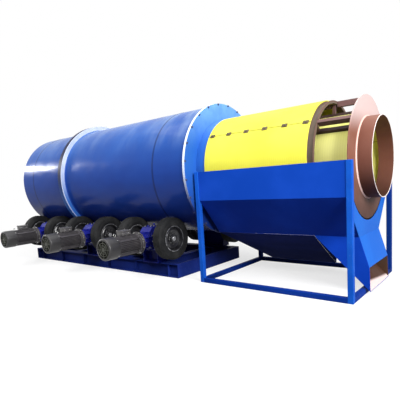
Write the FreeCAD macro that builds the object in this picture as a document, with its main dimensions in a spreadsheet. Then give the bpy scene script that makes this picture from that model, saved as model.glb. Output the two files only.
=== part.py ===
"""Trommel screen with a drum scrubber, in millimetres.

A scrubbing drum lies on twelve pneumatic tyres and carries a double-layer screening drum on its
discharge end. Each pair of tyres shares an axle: the front axles are turned by gear reducers and
motors, the rear ones run in pillow blocks. A hopper on its own frame stands under the screen.

+X runs along the drums towards the discharge, -Y is the side with the motors, and +Z is up.
The origin is on the floor under the drums' axis, at the middle of the base frame.
"""
import FreeCAD
import Part
import Sketcher
import math
import os
import re

# Driving sizes: name, value in millimetres or degrees, or a plain count.
SIZES = (
    # Scrubbing drum
    ("scrubber_start", -2156),
    ("scrubber_length", 4736),
    ("scrubber_radius", 1000),
    ("scrubber_wall", 14),
    ("bead_height", 3),
    ("bead_width", 26),
    ("feed_bead_x", -1730),
    ("discharge_bead_x", 1900),
    ("head_thickness", 20),
    ("flange_lip", 27),
    ("feed_recess", 40),
    ("feed_mouth_radius", 450),
    ("feed_collar_wall", 12),
    ("mouth_collar_length", 180),
    ("lifter_count", 8),
    ("lifter_depth", 70),
    ("lifter_thickness", 16),
    ("lifter_end_gap", 60),
    ("guide_ring_x", -560),
    ("guide_ring_depth", 95),
    ("guide_ring_width", 110),
    # Screening drum
    ("panel_radius", 775),
    ("panel_wall", 12),
    ("panel_lap", 20),
    ("seam_gap", 6),
    ("neck_length", 182),
    ("neck_wall", 12),
    ("screen_span", 1516),
    ("hoop_width", 89),
    ("hoop_depth", 38),
    ("hoop_flange", 10),
    ("hoop_web", 10),
    ("window_length", 390),
    ("bar_count", 6),
    ("first_bar_angle", 53.5),
    ("bar_depth", 75),
    ("bar_width", 45),
    ("inner_radius", 556),
    ("inner_wall", 12),
    ("inner_bar_depth", 50),
    ("spoke_width", 40),
    ("ring_plate_radius", 767),
    ("ring_plate_thickness", 16),
    ("collar_radius", 504),
    ("collar_wall", 10),
    ("collar_reach", 179),
    ("clamp_count", 6),
    ("clamp_length", 76),
    ("clamp_width", 56),
    ("clamp_thickness", 6),
    ("clamp_margin", 50),
    # Tyre units
    ("unit_pitch", 1590),
    ("unit_middle_x", 30),
    ("axle_offset", 850),
    ("axle_height", 630.673),
    ("tread_gap", 0.3),
    ("tyre_radius", 330),
    ("tyre_width", 180),
    ("tyre_offset", 430),
    ("bead_share", 0.78),
    ("rim_radius", 190),
    ("rim_wall", 12),
    ("rim_lip", 10),
    ("disc_thickness", 14),
    ("disc_inset", 30),
    ("nave_radius", 100),
    ("dish_radius", 138),
    ("dish_depth", 20),
    ("hub_radius", 68),
    ("hub_reach", 45),
    ("axle_radius", 40),
    ("running_gap", 0.3),
    # Gear reducers and motors
    ("housing_width", 220),
    ("housing_front", 150),
    ("housing_back", 150),
    ("housing_drop", 190),
    ("housing_rise", 175),
    ("housing_chamfer", 62),
    ("cover_radius", 132),
    ("cover_thickness", 13),
    ("lid_inset", 30),
    ("foot_reach", 150),
    ("foot_thickness", 24),
    ("gear_rib", 12),
    ("rib_radius", 148),
    ("rib_count", 6),
    ("boss_radius", 98),
    ("boss_reach", 165),
    ("snout_reach", 305),
    ("snout_radius", 118),
    ("snout_flange_radius", 158),
    ("snout_flange_thickness", 22),
    ("motor_drop", 40),
    ("motor_flange_radius", 175),
    ("motor_flange_thickness", 18),
    ("motor_bell_length", 52),
    ("motor_bell_radius", 152),
    ("motor_core_length", 410),
    ("motor_core_radius", 134),
    ("bank_fins", 8),
    ("fin_pitch", 23.5),
    ("fin_root", 12),
    ("fin_tip_radius", 158),
    ("fin_thickness", 6),
    ("lug_width", 34),
    ("lug_length", 50),
    ("cowl_radius", 166),
    ("cowl_length", 198),
    ("cowl_chamfer", 12),
    ("grille_radius", 132),
    ("grille_slots", 3),
    ("grille_pitch", 36),
    ("grille_slot", 28),
    ("grille_depth", 30),
    ("grille_bar", 8),
    ("grille_bars", 8),
    ("box_length", 170),
    ("box_width", 150),
    ("box_height", 82),
    ("box_lip", 5),
    ("box_lid", 22),
    ("box_seat", 25),
    # Base frame
    ("base_length", 4326),
    ("base_half_width", 864),
    ("base_height", 222),
    ("beam_flange_width", 150),
    ("beam_flange_thickness", 14),
    ("beam_web", 10),
    ("channel_depth", 75),
    ("channel_web", 10),
    ("stiffener_thickness", 10),
    ("stiffener_inset", 8),
    ("stiffener_end_gap", 150),
    ("stiffener_count", 6),
    ("anchor_end_inset", 183),
    ("anchor_radius", 13),
    ("anchor_inset", 34),
    ("stand_plate", 18),
    ("stand_web", 14),
    ("front_stand_length", 340),
    ("front_stand_depth", 230),
    ("front_stand_setback", 35),
    ("rear_stand_length", 520),
    ("rear_stand_depth", 210),
    # Pillow blocks
    ("block_offset", 200),
    ("block_length", 78),
    ("block_web", 60),
    ("block_height", 92),
    ("block_foot_height", 34),
    ("block_foot_half", 98),
    ("block_radius", 82),
    ("seal_radius", 60),
    ("seal_depth", 9),
    # Hopper
    ("hopper_lead", 40),
    ("hopper_half_width", 872),
    ("hopper_top_drop", 33),
    ("tube", 66),
    ("plate", 8),
    ("plate_setback", 10),
    ("wall_foot_drop", 443),
    ("knee_half", 422),
    ("knee_drop", 954),
    ("end_plate_lead", 4),
    ("partition_lead", 71),
    ("screen_clearance", 14),
    ("ring_clearance", 18),
    ("outlet_reach", 245),
    ("outlet_height", 111),
    ("outlet_feed_inset", 306),
    ("outlet_end_inset", 118),
    ("chute_toe_reach", 123),
    ("chute_toe_height", 44),
    ("chute_brow_reach", 113),
    ("chute_brow_height", 333),
)
NAMES = {name for name, value in SIZES}

# Places along the axis, each measured from the one before.
HEAD_X = "(scrubber_start + scrubber_length)"
NECK_END = f"({HEAD_X} + neck_length)"
HOOP_X = f"({NECK_END} + screen_span)"
HOOP_END = f"({HOOP_X} + hoop_width)"
MID_HOOP_X = f"({NECK_END} + (screen_span - hoop_width) / 2)"
PLATE_X = f"({HOOP_END} + window_length)"
PLATE_END = f"({PLATE_X} + ring_plate_thickness)"
FEED_HEAD_X = "(scrubber_start + feed_recess)"

# Radii and heights that follow from the sizes.
SHELL_INSIDE = "(scrubber_radius - scrubber_wall)"
FLANGE_RADIUS = "(scrubber_radius + flange_lip)"
PANEL_INSIDE = "(panel_radius - panel_wall)"
HOOP_INSIDE = f"({PANEL_INSIDE} - hoop_depth)"
INNER_BAR_TOP = "(inner_radius + inner_bar_depth)"
AXIS_Z = (
    "(axle_height + sqrt((scrubber_radius + tyre_radius + tread_gap)^2 - axle_offset^2))"
)
WALL_Y = "(hopper_half_width - plate_setback)"
WALL_RUN = f"({WALL_Y} - knee_half)"
WALL_DROP = "(knee_drop - wall_foot_drop)"
SLOPE_ACROSS = f"(plate * sqrt({WALL_RUN}^2 + {WALL_DROP}^2) / {WALL_DROP})"
HOPPER_START = f"({HEAD_X} + hopper_lead)"
HOPPER_FACE_X = f"({HOPPER_START} + tube)"
HOPPER_BACK_X = f"({PLATE_END} + end_plate_lead)"
PARTITION_X = f"({HOOP_X} - partition_lead)"
PARTITION_END = f"({PARTITION_X} + plate)"
CHUTE_TOE_X = f"({HOPPER_BACK_X} + chute_toe_reach)"
CHUTE_BROW_X = f"({HOPPER_BACK_X} + chute_brow_reach)"
HOPPER_TOP = f"({AXIS_Z} - hopper_top_drop)"
WALL_FOOT = f"({AXIS_Z} - wall_foot_drop)"
KNEE_Z = f"({AXIS_Z} - knee_drop)"
COVER_REACH = "(housing_width / 2 + cover_thickness)"
UNITS = (
    ("1", "(unit_middle_x - unit_pitch)"),
    ("2", "unit_middle_x"),
    ("3", "(unit_middle_x + unit_pitch)"),
)

# Size at which a sketch's edges are first drawn, before their constraints move them.
SEED = 1

DOCUMENT = FreeCAD.newDocument("trommel_screen")


def fill_sheet():
    """Write each driving size into a named cell."""
    sheet = DOCUMENT.addObject("Spreadsheet::Sheet", "dims")
    for row, (name, value) in enumerate(SIZES, start=1):
        sheet.set(f"A{row}", name)
        sheet.set(f"B{row}", str(value))
        sheet.setAlias(f"B{row}", name)
    DOCUMENT.recompute()
    return sheet


SHEET = fill_sheet()


def size(name):
    """Read one driving size back from the sheet."""
    return float(getattr(SHEET, name))


def tied(text):
    """Point every size name in an expression at its cell."""
    return re.sub(
        r"[a-z][a-z_0-9]*",
        lambda word: "dims." + word.group() if word.group() in NAMES else word.group(),
        text,
    )


def place(item, across="0", along="0", up="0"):
    """Bind an object's place along X, Y and Z."""
    for letter, text in (("x", across), ("y", along), ("z", up)):
        item.setExpression(f"Placement.Base.{letter}", tied(text))


def new_body(label, across="0", along="0", up="0"):
    """Start a sub-part in its own frame."""
    body = DOCUMENT.addObject("PartDesign::Body", label)
    place(body, across, along, up)
    return body


def drum_body(label):
    """Start a sub-part whose own X line is the drums' axis."""
    return new_body(label, up=AXIS_Z)


def tilted_drum_body(label, angle):
    """Start a sub-part of the drums that is turned from the top towards the front."""
    body = drum_body(label)
    quarter = FreeCAD.Rotation(FreeCAD.Vector(1, 0, 0), 90)
    body.Placement = FreeCAD.Placement(FreeCAD.Vector(), quarter)
    body.setExpression("Placement.Rotation.Angle", tied(angle))
    return body


def origin_feature(body, role):
    """Find an origin plane or line of a sub-part."""
    return [item for item in body.Origin.OriginFeatures if item.Role == role][0]


def new_sketch(body, plane, shift="0", lift="0"):
    """Start a sketch on an origin plane, shifted along its normal and lifted in it."""
    sketch = body.newObject("Sketcher::SketchObject", body.Name + "_sketch")
    sketch.AttachmentSupport = (origin_feature(body, plane), [""])
    sketch.MapMode = "FlatFace"
    sketch.setExpression("AttachmentOffset.Base.z", tied(shift))
    sketch.setExpression("AttachmentOffset.Base.y", tied(lift))
    return sketch


def pin_point(sketch, edge, point, seat, across, up):
    """Hold one point of a sketch at two expressions."""
    for kind, start, text in (("DistanceX", seat.x, across), ("DistanceY", seat.y, up)):
        link = sketch.addConstraint(Sketcher.Constraint(kind, -1, 1, edge, point, start))
        sketch.setExpression(f"Constraints[{link}]", tied(text))


def draw_loop(sketch, corners):
    """Draw a closed outline of straight edges through (across, up) corners."""
    count = len(corners)
    first = sketch.GeometryCount
    turn = 2 * math.pi / count
    seats = [FreeCAD.Vector(math.cos(turn * step), math.sin(turn * step), 0) * SEED for step in range(count)]
    for step in range(count):
        sketch.addGeometry(Part.LineSegment(seats[step], seats[(step + 1) % count]), False)
    for step in range(count):
        following = first + (step + 1) % count
        sketch.addConstraint(Sketcher.Constraint("Coincident", first + step, 2, following, 1))
    for step, (across, up) in enumerate(corners):
        pin_point(sketch, first + step, 1, seats[step], across, up)


def draw_rectangle(sketch, low, high):
    """Draw a rectangle between two (across, up) corners."""
    draw_loop(sketch, (low, (high[0], low[1]), high, (low[0], high[1])))


def draw_circle(sketch, across, up, radius):
    """Draw a circle at (across, up)."""
    seat = FreeCAD.Vector(SEED, SEED, 0)
    edge = sketch.addGeometry(Part.Circle(seat, FreeCAD.Vector(0, 0, 1), SEED), False)
    pin_point(sketch, edge, 3, seat, across, up)
    link = sketch.addConstraint(Sketcher.Constraint("Radius", edge, 1))
    sketch.setExpression(f"Constraints[{link}]", tied(radius))


def extrude(body, sketch, length):
    """Pad a sketch along its normal."""
    pad = body.newObject("PartDesign::Pad", body.Name + "_pad")
    pad.Profile = sketch
    pad.setExpression("Length", tied(length))
    return pad


def revolve(body, sketch, kind="PartDesign::Revolution"):
    """Turn a sketch once about its own horizontal line."""
    turned = body.newObject(kind, body.Name + "_turned")
    turned.Profile = sketch
    turned.ReferenceAxis = (sketch, ["H_Axis"])
    turned.Angle = 360
    return turned


def repeat_round(body, features, axis, count):
    """Copy features evenly about a line."""
    pattern = body.newObject("PartDesign::PolarPattern", body.Name + "_round")
    pattern.Originals = features
    pattern.Axis = axis
    pattern.Angle = 360
    pattern.setExpression("Occurrences", tied(count))
    body.Tip = pattern
    return pattern


def own_line(body, role):
    """Give one of a sub-part's own lines as a pattern's axis."""
    return (origin_feature(body, role), [""])


def mirror_across(body, features, plane):
    """Copy features to the other side of one of the sub-part's own planes."""
    mirrored = body.newObject("PartDesign::Mirrored", body.Name + "_mirrored")
    mirrored.Originals = features
    mirrored.MirrorPlane = (origin_feature(body, plane), [""])
    body.Tip = mirrored
    return mirrored


def turned_rings(body, loops):
    """Make one solid of revolution from each (along the axis, radius) outline."""
    sketch = new_sketch(body, "XZ_Plane")
    for corners in loops:
        draw_loop(sketch, corners)
    revolve(body, sketch)
    return body


def ring_outline(start, end, inside, outside):
    """Give the rectangle whose revolution is a plain ring."""
    return ((start, inside), (end, inside), (end, outside), (start, outside))


def new_box(name, corner, lengths):
    """Make a box from its lowest corner and its three lengths."""
    box = DOCUMENT.addObject("Part::Box", name)
    for key, text in zip(("Length", "Width", "Height"), lengths):
        box.setExpression(key, tied(text))
    place(box, *corner)
    return box


def grouped(label, members):
    """Hold several separate solids in one sub-part."""
    compound = DOCUMENT.addObject("Part::Compound", label)
    compound.Links = members
    return compound


def seat_on_circle(radius, width):
    """Give the height at which a flat face of this width meets a circle at its edges."""
    return f"sqrt(({radius})^2 - (({width}) / 2)^2)"


def scrubber_shell():
    """Rolled shell with two raised weld beads."""
    outline = [("scrubber_start", SHELL_INSIDE), ("scrubber_start", "scrubber_radius")]
    for bead in ("feed_bead_x", "discharge_bead_x"):
        outline += [
            (f"{bead} - bead_width / 2", "scrubber_radius"),
            (f"{bead} - bead_width / 4", "scrubber_radius + bead_height"),
            (f"{bead} + bead_width / 4", "scrubber_radius + bead_height"),
            (f"{bead} + bead_width / 2", "scrubber_radius"),
        ]
    shell_end = f"{HEAD_X} - head_thickness"
    outline += [(shell_end, "scrubber_radius"), (shell_end, SHELL_INSIDE)]
    return turned_rings(drum_body("scrubber_shell"), [outline])


def guide_ring():
    """Heavy ring that keeps the drum from creeping along its tyres."""
    start = "guide_ring_x - guide_ring_width / 2"
    end = "guide_ring_x + guide_ring_width / 2"
    outline = ring_outline(start, end, "scrubber_radius", "scrubber_radius + guide_ring_depth")
    return turned_rings(drum_body("guide_ring"), [outline])


def feed_head():
    """Plate that closes the feed end around its mouth."""
    end = f"{FEED_HEAD_X} + head_thickness"
    outside = "(feed_mouth_radius + feed_collar_wall)"
    outline = ring_outline(FEED_HEAD_X, end, outside, SHELL_INSIDE)
    return turned_rings(drum_body("feed_head"), [outline])


def feed_collar():
    """Short collar through which the feed enters."""
    end = f"{FEED_HEAD_X} + head_thickness"
    outside = "feed_mouth_radius + feed_collar_wall"
    outline = ring_outline("scrubber_start - mouth_collar_length", end, "feed_mouth_radius", outside)
    return turned_rings(drum_body("feed_collar"), [outline])


def lifters():
    """Flat bars along the inside of the shell."""
    body = drum_body("lifters")
    start = f"{FEED_HEAD_X} + head_thickness + lifter_end_gap"
    end = f"{HEAD_X} - head_thickness - lifter_end_gap"
    sketch = new_sketch(body, "YZ_Plane", start)
    top = seat_on_circle(SHELL_INSIDE, "lifter_thickness")
    low = ("-lifter_thickness / 2", f"{top} - lifter_depth")
    draw_rectangle(sketch, low, ("lifter_thickness / 2", top))
    bar = extrude(body, sketch, f"({end}) - ({start})")
    repeat_round(body, [bar], own_line(body, "X_Axis"), "lifter_count")
    return body


def discharge_flange():
    """Ring welded round the shell's discharge end."""
    start = f"{HEAD_X} - 2 * head_thickness"
    end = f"{HEAD_X} - head_thickness"
    outline = ring_outline(start, end, "scrubber_radius", FLANGE_RADIUS)
    return turned_rings(drum_body("discharge_flange"), [outline])


def discharge_head():
    """Plate bolted to the flange, open as wide as the inner screen."""
    start = f"{HEAD_X} - head_thickness"
    outline = ring_outline(start, HEAD_X, "inner_radius - inner_wall", FLANGE_RADIUS)
    return turned_rings(drum_body("discharge_head"), [outline])


def neck_hoop():
    """Short tube between the discharge head and the screen panels."""
    outline = ring_outline(HEAD_X, NECK_END, f"{PANEL_INSIDE} - neck_wall", PANEL_INSIDE)
    return turned_rings(drum_body("neck_hoop"), [outline])


def channel_outline(start):
    """Give a hoop's channel section, open outwards."""
    end = f"({start} + hoop_width)"
    web_top = f"({HOOP_INSIDE} + hoop_web)"
    return (
        (start, HOOP_INSIDE),
        (end, HOOP_INSIDE),
        (end, PANEL_INSIDE),
        (f"{end} - hoop_flange", PANEL_INSIDE),
        (f"{end} - hoop_flange", web_top),
        (f"{start} + hoop_flange", web_top),
        (f"{start} + hoop_flange", PANEL_INSIDE),
        (start, PANEL_INSIDE),
    )


def hoop(label, start):
    """Channel hoop of the outer screen."""
    return turned_rings(drum_body(label), [channel_outline(start)])


def bars(label, spans, bottom, top, width):
    """Bars along the drum, one row for each (start, end) span, repeated round the axis."""
    body = tilted_drum_body(label, "first_bar_angle")
    pads = []
    for start, end in spans:
        sketch = new_sketch(body, "YZ_Plane", start)
        draw_rectangle(sketch, (f"-{width} / 2", bottom), (f"{width} / 2", top))
        pads.append(extrude(body, sketch, f"({end}) - ({start})"))
    repeat_round(body, pads, own_line(body, "X_Axis"), "bar_count")
    return body


def screen_bars():
    """Longerons under the panels, the open bars beyond them, the inner bars and the spokes."""
    outer_top = seat_on_circle(PANEL_INSIDE, "bar_width")
    outer_low = f"{outer_top} - bar_depth"
    under_panels = ((NECK_END, MID_HOOP_X), (f"{MID_HOOP_X} + hoop_width", HOOP_X))
    spoke_top = seat_on_circle(HOOP_INSIDE, "spoke_width")
    spokes = [
        (f"{start} + (hoop_width - spoke_width) / 2", f"{start} + (hoop_width + spoke_width) / 2")
        for start in (MID_HOOP_X, HOOP_X)
    ]
    return [
        bars("panel_longerons", under_panels, outer_low, outer_top, "bar_width"),
        bars("window_bars", ((HOOP_END, PLATE_X),), outer_low, outer_top, "bar_width"),
        bars("inner_bars", ((HEAD_X, PLATE_X),), "inner_radius", INNER_BAR_TOP, "bar_width"),
        bars("hoop_spokes", spokes, INNER_BAR_TOP, spoke_top, "spoke_width"),
    ]


def screen_panels():
    """Curved screen panels that meet over the longerons, with a seam between each two."""
    body = tilted_drum_body("screen_panels", "first_bar_angle + 180 / bar_count")
    sketch = new_sketch(body, "XZ_Plane")
    start = f"{NECK_END} - panel_lap"
    draw_loop(sketch, ring_outline(start, f"{HOOP_X} + hoop_flange", PANEL_INSIDE, "panel_radius"))
    panel = revolve(body, sketch)
    panel.Midplane = True
    seam_angle = "seam_gap / panel_radius * 180 / pi"
    panel.setExpression("Angle", tied(f"360 / bar_count - {seam_angle}"))
    repeat_round(body, [panel], own_line(body, "X_Axis"), "bar_count")
    return body


def seam_clamps():
    """Clamp plates in a row along each seam."""
    body = tilted_drum_body("seam_clamps", "first_bar_angle")
    sketch = new_sketch(body, "XY_Plane", "panel_radius")
    count = int(round(size("clamp_count")))
    pitch = "((screen_span - 2 * clamp_margin) / (clamp_count - 1))"
    for step in range(count):
        middle = f"{NECK_END} + clamp_margin + {step} * {pitch}"
        low = (f"{middle} - clamp_length / 2", "-clamp_width / 2")
        draw_rectangle(sketch, low, (f"{middle} + clamp_length / 2", "clamp_width / 2"))
    row = extrude(body, sketch, "clamp_thickness")
    repeat_round(body, [row], own_line(body, "X_Axis"), "bar_count")
    return body


def inner_screen():
    """Inner layer of the screen."""
    outline = ring_outline(HEAD_X, PLATE_X, "inner_radius - inner_wall", "inner_radius")
    return turned_rings(drum_body("inner_screen"), [outline])


def ring_plate():
    """Plate that closes the space between the layers at the discharge."""
    outline = ring_outline(PLATE_X, PLATE_END, "collar_radius", "ring_plate_radius")
    return turned_rings(drum_body("ring_plate"), [outline])


def discharge_collar():
    """Collar through which the oversize leaves."""
    inside = "collar_radius - collar_wall"
    outline = ring_outline(PLATE_X, f"{PLATE_END} + collar_reach", inside, "collar_radius")
    return turned_rings(drum_body("discharge_collar"), [outline])


def tyre_outline(middle):
    """Give one tyre's section about a place on its axle."""
    half = "(tyre_width / 2)"
    height = "(tyre_radius - rim_radius)"
    seat = f"bead_share * {half}"
    # Share of the half width and share of the section's height, from flank to tread.
    flank = ((1.0, 0.42), (0.9, 0.86), (0.56, 1.0))
    side = [(seat, "rim_radius"), (seat, "rim_radius + rim_lip")]
    side += [(f"{wide} * {half}", f"rim_radius + {high} * {height}") for wide, high in flank]
    right = [(f"{middle} + {across}", up) for across, up in side]
    left = [(f"{middle} - {across}", up) for across, up in reversed(side)]
    return right + left


def wheel_pair(row, number, across, along):
    """Two tyres, and the axle that carries their rims."""
    tyres = new_body(f"{row}_tyres_{number}", across, along, "axle_height")
    turned_rings(tyres, [tyre_outline("-tyre_offset"), tyre_outline("tyre_offset")])
    axle = new_body(f"{row}_axle_{number}", across, along, "axle_height")
    turned_rings(axle, [axle_outline()])
    return [tyres, axle]


def axle_outline():
    """Give the section of an axle with a dished rim and a hub at each end."""
    barrel_half = "(bead_share * tyre_width / 2 + rim_lip)"
    disc_out = "(tyre_offset + disc_inset)"
    disc_in = f"({disc_out} - disc_thickness)"
    under_barrel = "(rim_radius - rim_wall)"
    lip_top = "(rim_radius + rim_lip)"
    seat_half = "(bead_share * tyre_width / 2)"
    end = f"({disc_out} + hub_reach)"
    half = (
        (f"{disc_in} - hub_reach", "axle_radius"),
        (f"{disc_in} - hub_reach", "hub_radius"),
        (disc_in, "hub_radius"),
        (disc_in, "nave_radius"),
        (f"{disc_in} + dish_depth", "dish_radius"),
        (disc_in, under_barrel),
        (f"tyre_offset - {barrel_half}", under_barrel),
        (f"tyre_offset - {barrel_half}", lip_top),
        (f"tyre_offset - {seat_half}", lip_top),
        (f"tyre_offset - {seat_half}", "rim_radius"),
        (f"tyre_offset + {seat_half}", "rim_radius"),
        (f"tyre_offset + {seat_half}", lip_top),
        (f"tyre_offset + {barrel_half}", lip_top),
        (f"tyre_offset + {barrel_half}", under_barrel),
        (disc_out, under_barrel),
        (f"{disc_out} + dish_depth", "dish_radius"),
        (disc_out, "nave_radius"),
        (disc_out, "hub_radius"),
        (end, "hub_radius"),
        (end, "0"),
    )
    return list(half) + [(f"-({across})", radius) for across, radius in reversed(half)]


def wheels():
    """Six driven tyres along the front and six idling ones along the rear."""
    made = []
    for number, across in UNITS:
        made += wheel_pair("front", number, across, "-axle_offset")
        made += wheel_pair("rear", number, across, "axle_offset")
    return made


def gearbox(number, across):
    """Right-angle gear reducer with side covers, a foot, a hollow output boss and a ribbed snout."""
    body = new_body(f"gearbox_{number}", across, "-axle_offset", "axle_height")
    side = new_sketch(body, "YZ_Plane", "-housing_width / 2")
    draw_loop(
        side,
        (
            ("-housing_front + housing_chamfer", "-housing_drop"),
            ("housing_back", "-housing_drop"),
            ("housing_back", "housing_rise - housing_chamfer"),
            ("housing_back - housing_chamfer", "housing_rise"),
            ("-housing_front + housing_chamfer", "housing_rise"),
            ("-housing_front", "housing_rise - housing_chamfer"),
            ("-housing_front", "-housing_drop + housing_chamfer"),
        ),
    )
    extrude(body, side, "housing_width")
    foot = new_sketch(body, "YZ_Plane", "-foot_reach")
    toe = ("-housing_front + housing_chamfer", "-housing_drop")
    draw_rectangle(foot, toe, ("housing_back", "-housing_drop + foot_thickness"))
    extrude(body, foot, "2 * foot_reach")
    gusset = new_sketch(body, "YZ_Plane", f"-{COVER_REACH}")
    draw_rectangle(gusset, ("-gear_rib / 2", "-housing_drop"), ("gear_rib / 2", "-boss_radius"))
    extrude(body, gusset, f"2 * {COVER_REACH}")
    lid = new_sketch(body, "XY_Plane", "housing_rise")
    lid_half = ("(housing_width / 2 - lid_inset)", "(housing_front - housing_chamfer)")
    draw_rectangle(lid, tuple(f"-{half}" for half in lid_half), lid_half)
    extrude(body, lid, "cover_thickness")
    covers = new_sketch(body, "XZ_Plane")
    draw_loop(covers, ring_outline(f"-{COVER_REACH}", COVER_REACH, "0", "cover_radius"))
    revolve(body, covers)
    bosses = new_sketch(body, "XZ_Plane")
    draw_loop(bosses, ring_outline("-boss_reach", "boss_reach", "0", "boss_radius"))
    revolve(body, bosses)
    snout = new_sketch(body, "YZ_Plane", lift="-motor_drop")
    draw_loop(
        snout,
        (
            ("0", "0"),
            ("0", "snout_radius"),
            ("-snout_reach + 2 * snout_flange_thickness", "snout_radius"),
            ("-snout_reach + snout_flange_thickness", "snout_flange_radius"),
            ("-snout_reach", "snout_flange_radius"),
            ("-snout_reach", "0"),
        ),
    )
    revolve(body, snout)
    rib = new_sketch(body, "YZ_Plane", "-gear_rib / 2", "-motor_drop")
    rib_end = ("-snout_reach + snout_flange_thickness", "0.9 * snout_radius")
    draw_rectangle(rib, rib_end, ("-housing_front", "rib_radius"))
    web = extrude(body, rib, "gear_rib")
    repeat_round(body, [web], (snout, ["H_Axis"]), "rib_count")
    bore = new_sketch(body, "XZ_Plane")
    draw_loop(bore, ring_outline("-2 * boss_reach", "2 * boss_reach", "0", "axle_radius + running_gap"))
    revolve(body, bore, "PartDesign::Groove")
    return body


MOTOR_Y = "(-axle_offset - snout_reach)"
MOTOR_Z = "(axle_height - motor_drop)"
CORE_START = "(motor_flange_thickness + motor_bell_length)"
COWL_START = f"({CORE_START} + motor_core_length)"


def motor(number, across):
    """Flange motor with four banks of cooling fins, tie bolt lugs and a seat for its box."""
    body = new_body(f"motor_{number}", across, MOTOR_Y, MOTOR_Z)
    frame = new_sketch(body, "YZ_Plane")
    draw_loop(
        frame,
        (
            ("0", "0"),
            ("0", "motor_flange_radius"),
            ("-motor_flange_thickness", "motor_flange_radius"),
            ("-motor_flange_thickness", "motor_bell_radius"),
            (f"-{CORE_START}", "motor_bell_radius"),
            (f"-{CORE_START}", "motor_core_radius"),
            (f"-{COWL_START}", "motor_core_radius"),
            (f"-{COWL_START}", "0"),
        ),
    )
    revolve(body, frame)
    bank = new_sketch(body, "XZ_Plane", CORE_START)
    for step in range(int(round(size("bank_fins")))):
        middle = f"(({step} - (bank_fins - 1) / 2) * fin_pitch)"
        foot = f"sqrt(motor_core_radius^2 - {middle}^2) - fin_root"
        top = f"sqrt(fin_tip_radius^2 - (abs({middle}) + fin_thickness / 2)^2)"
        draw_rectangle(
            bank, (f"{middle} - fin_thickness / 2", foot), (f"{middle} + fin_thickness / 2", top)
        )
    repeated = [extrude(body, bank, "motor_core_length")]
    for start in (f"{CORE_START} - lug_length / 2", f"{COWL_START} - lug_length"):
        lug = new_sketch(body, "XZ_Plane", start)
        draw_loop(lug, lug_outline())
        repeated.append(extrude(body, lug, "lug_length"))
    repeat_round(body, repeated, own_line(body, "Y_Axis"), "4")
    seat = new_sketch(body, "XZ_Plane", f"{CORE_START} + (motor_core_length - box_length) / 2 + box_seat")
    half = "(box_width / 2 - box_seat)"
    draw_rectangle(seat, (f"-{half}", "0.7 * motor_core_radius"), (half, "fin_tip_radius"))
    extrude(body, seat, "box_length - 2 * box_seat")
    return body


def lug_outline():
    """Give the section of a tie bolt's lug, halfway between two banks of fins."""
    low = "0.9 * motor_core_radius"
    high = seat_on_circle("fin_tip_radius", "lug_width")
    corners = ((low, "-"), (high, "-"), (high, "+"), (low, "+"))
    turned = {"-": "+", "+": "-"}
    return [
        (f"({out} {turned[side]} lug_width / 2) / sqrt(2)", f"({out} {side} lug_width / 2) / sqrt(2)")
        for out, side in corners
    ]


def fan_cowls():
    """Fan cowls with a grille of rings and bars over the motors' outer ends."""
    members = []
    for number, across in UNITS:
        cowl = new_body(f"fan_cowl_{number}", across, f"{MOTOR_Y} - {COWL_START}", MOTOR_Z)
        outline = new_sketch(cowl, "YZ_Plane")
        corners = [
            ("0", "0"),
            ("0", "cowl_radius"),
            ("-cowl_length + 2 * cowl_chamfer", "cowl_radius"),
            ("-cowl_length + cowl_chamfer / 2", "cowl_radius - cowl_chamfer / 2"),
            ("-cowl_length", "cowl_radius - 2 * cowl_chamfer"),
        ]
        for step in range(int(round(size("grille_slots")))):
            rim = f"(grille_radius - {step} * grille_pitch)"
            inner = f"({rim} - grille_slot)"
            for radius, order in ((rim, (0, 1)), (inner, (1, 0))):
                corners += [(f"-cowl_length + {deep} * grille_depth", radius) for deep in order]
        corners.append(("-cowl_length", "0"))
        draw_loop(outline, corners)
        revolve(cowl, outline)
        bar = new_sketch(cowl, "XZ_Plane", "cowl_length - grille_bar")
        foot = "grille_radius - grille_slots * grille_pitch"
        draw_rectangle(bar, ("-grille_bar / 2", foot), ("grille_bar / 2", "grille_radius + grille_bar / 2"))
        spoke = extrude(cowl, bar, "grille_bar")
        repeat_round(cowl, [spoke], own_line(cowl, "Y_Axis"), "grille_bars")
        members.append(cowl)
    return grouped("fan_cowls", members)


def terminal_boxes():
    """Terminal box with a lipped lid on top of each motor."""
    members = []
    for number, across in UNITS:
        along = f"{MOTOR_Y} - {CORE_START} - motor_core_length / 2"
        box = new_body(f"terminal_box_{number}", across, along, f"{MOTOR_Z} + fin_tip_radius")
        levels = (("0", "box_lip", "box_height - box_lid"), ("box_height - box_lid", "0", "box_lid"))
        for floor, inset, height in levels:
            sketch = new_sketch(box, "XY_Plane", floor)
            half = (f"(box_width / 2 - {inset})", f"(box_length / 2 - {inset})")
            draw_rectangle(sketch, tuple(f"-{reach}" for reach in half), half)
            extrude(box, sketch, height)
        members.append(box)
    return grouped("terminal_boxes", members)


def side_beams():
    """Front and rear beams of the base, with anchor holes in their lower flanges."""
    body = new_body("base_side_beams")
    sketch = new_sketch(body, "YZ_Plane", "-(base_length / 2 - channel_depth)")
    for side in ("-", ""):
        middle = f"0 + {side}(base_half_width - beam_flange_width / 2)"
        draw_loop(sketch, beam_outline(middle))
    extrude(body, sketch, "base_length - 2 * channel_depth")
    holes = new_sketch(body, "XY_Plane")
    for along in ("-", ""):
        for side in ("-", ""):
            draw_circle(
                holes,
                f"{along}(base_length / 2 - anchor_end_inset)",
                f"{side}(base_half_width - anchor_inset)",
                "anchor_radius",
            )
    pocket = body.newObject("PartDesign::Pocket", "anchor_holes")
    pocket.Profile = holes
    pocket.Reversed = True
    pocket.setExpression("Length", tied("beam_flange_thickness"))
    return body


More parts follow.
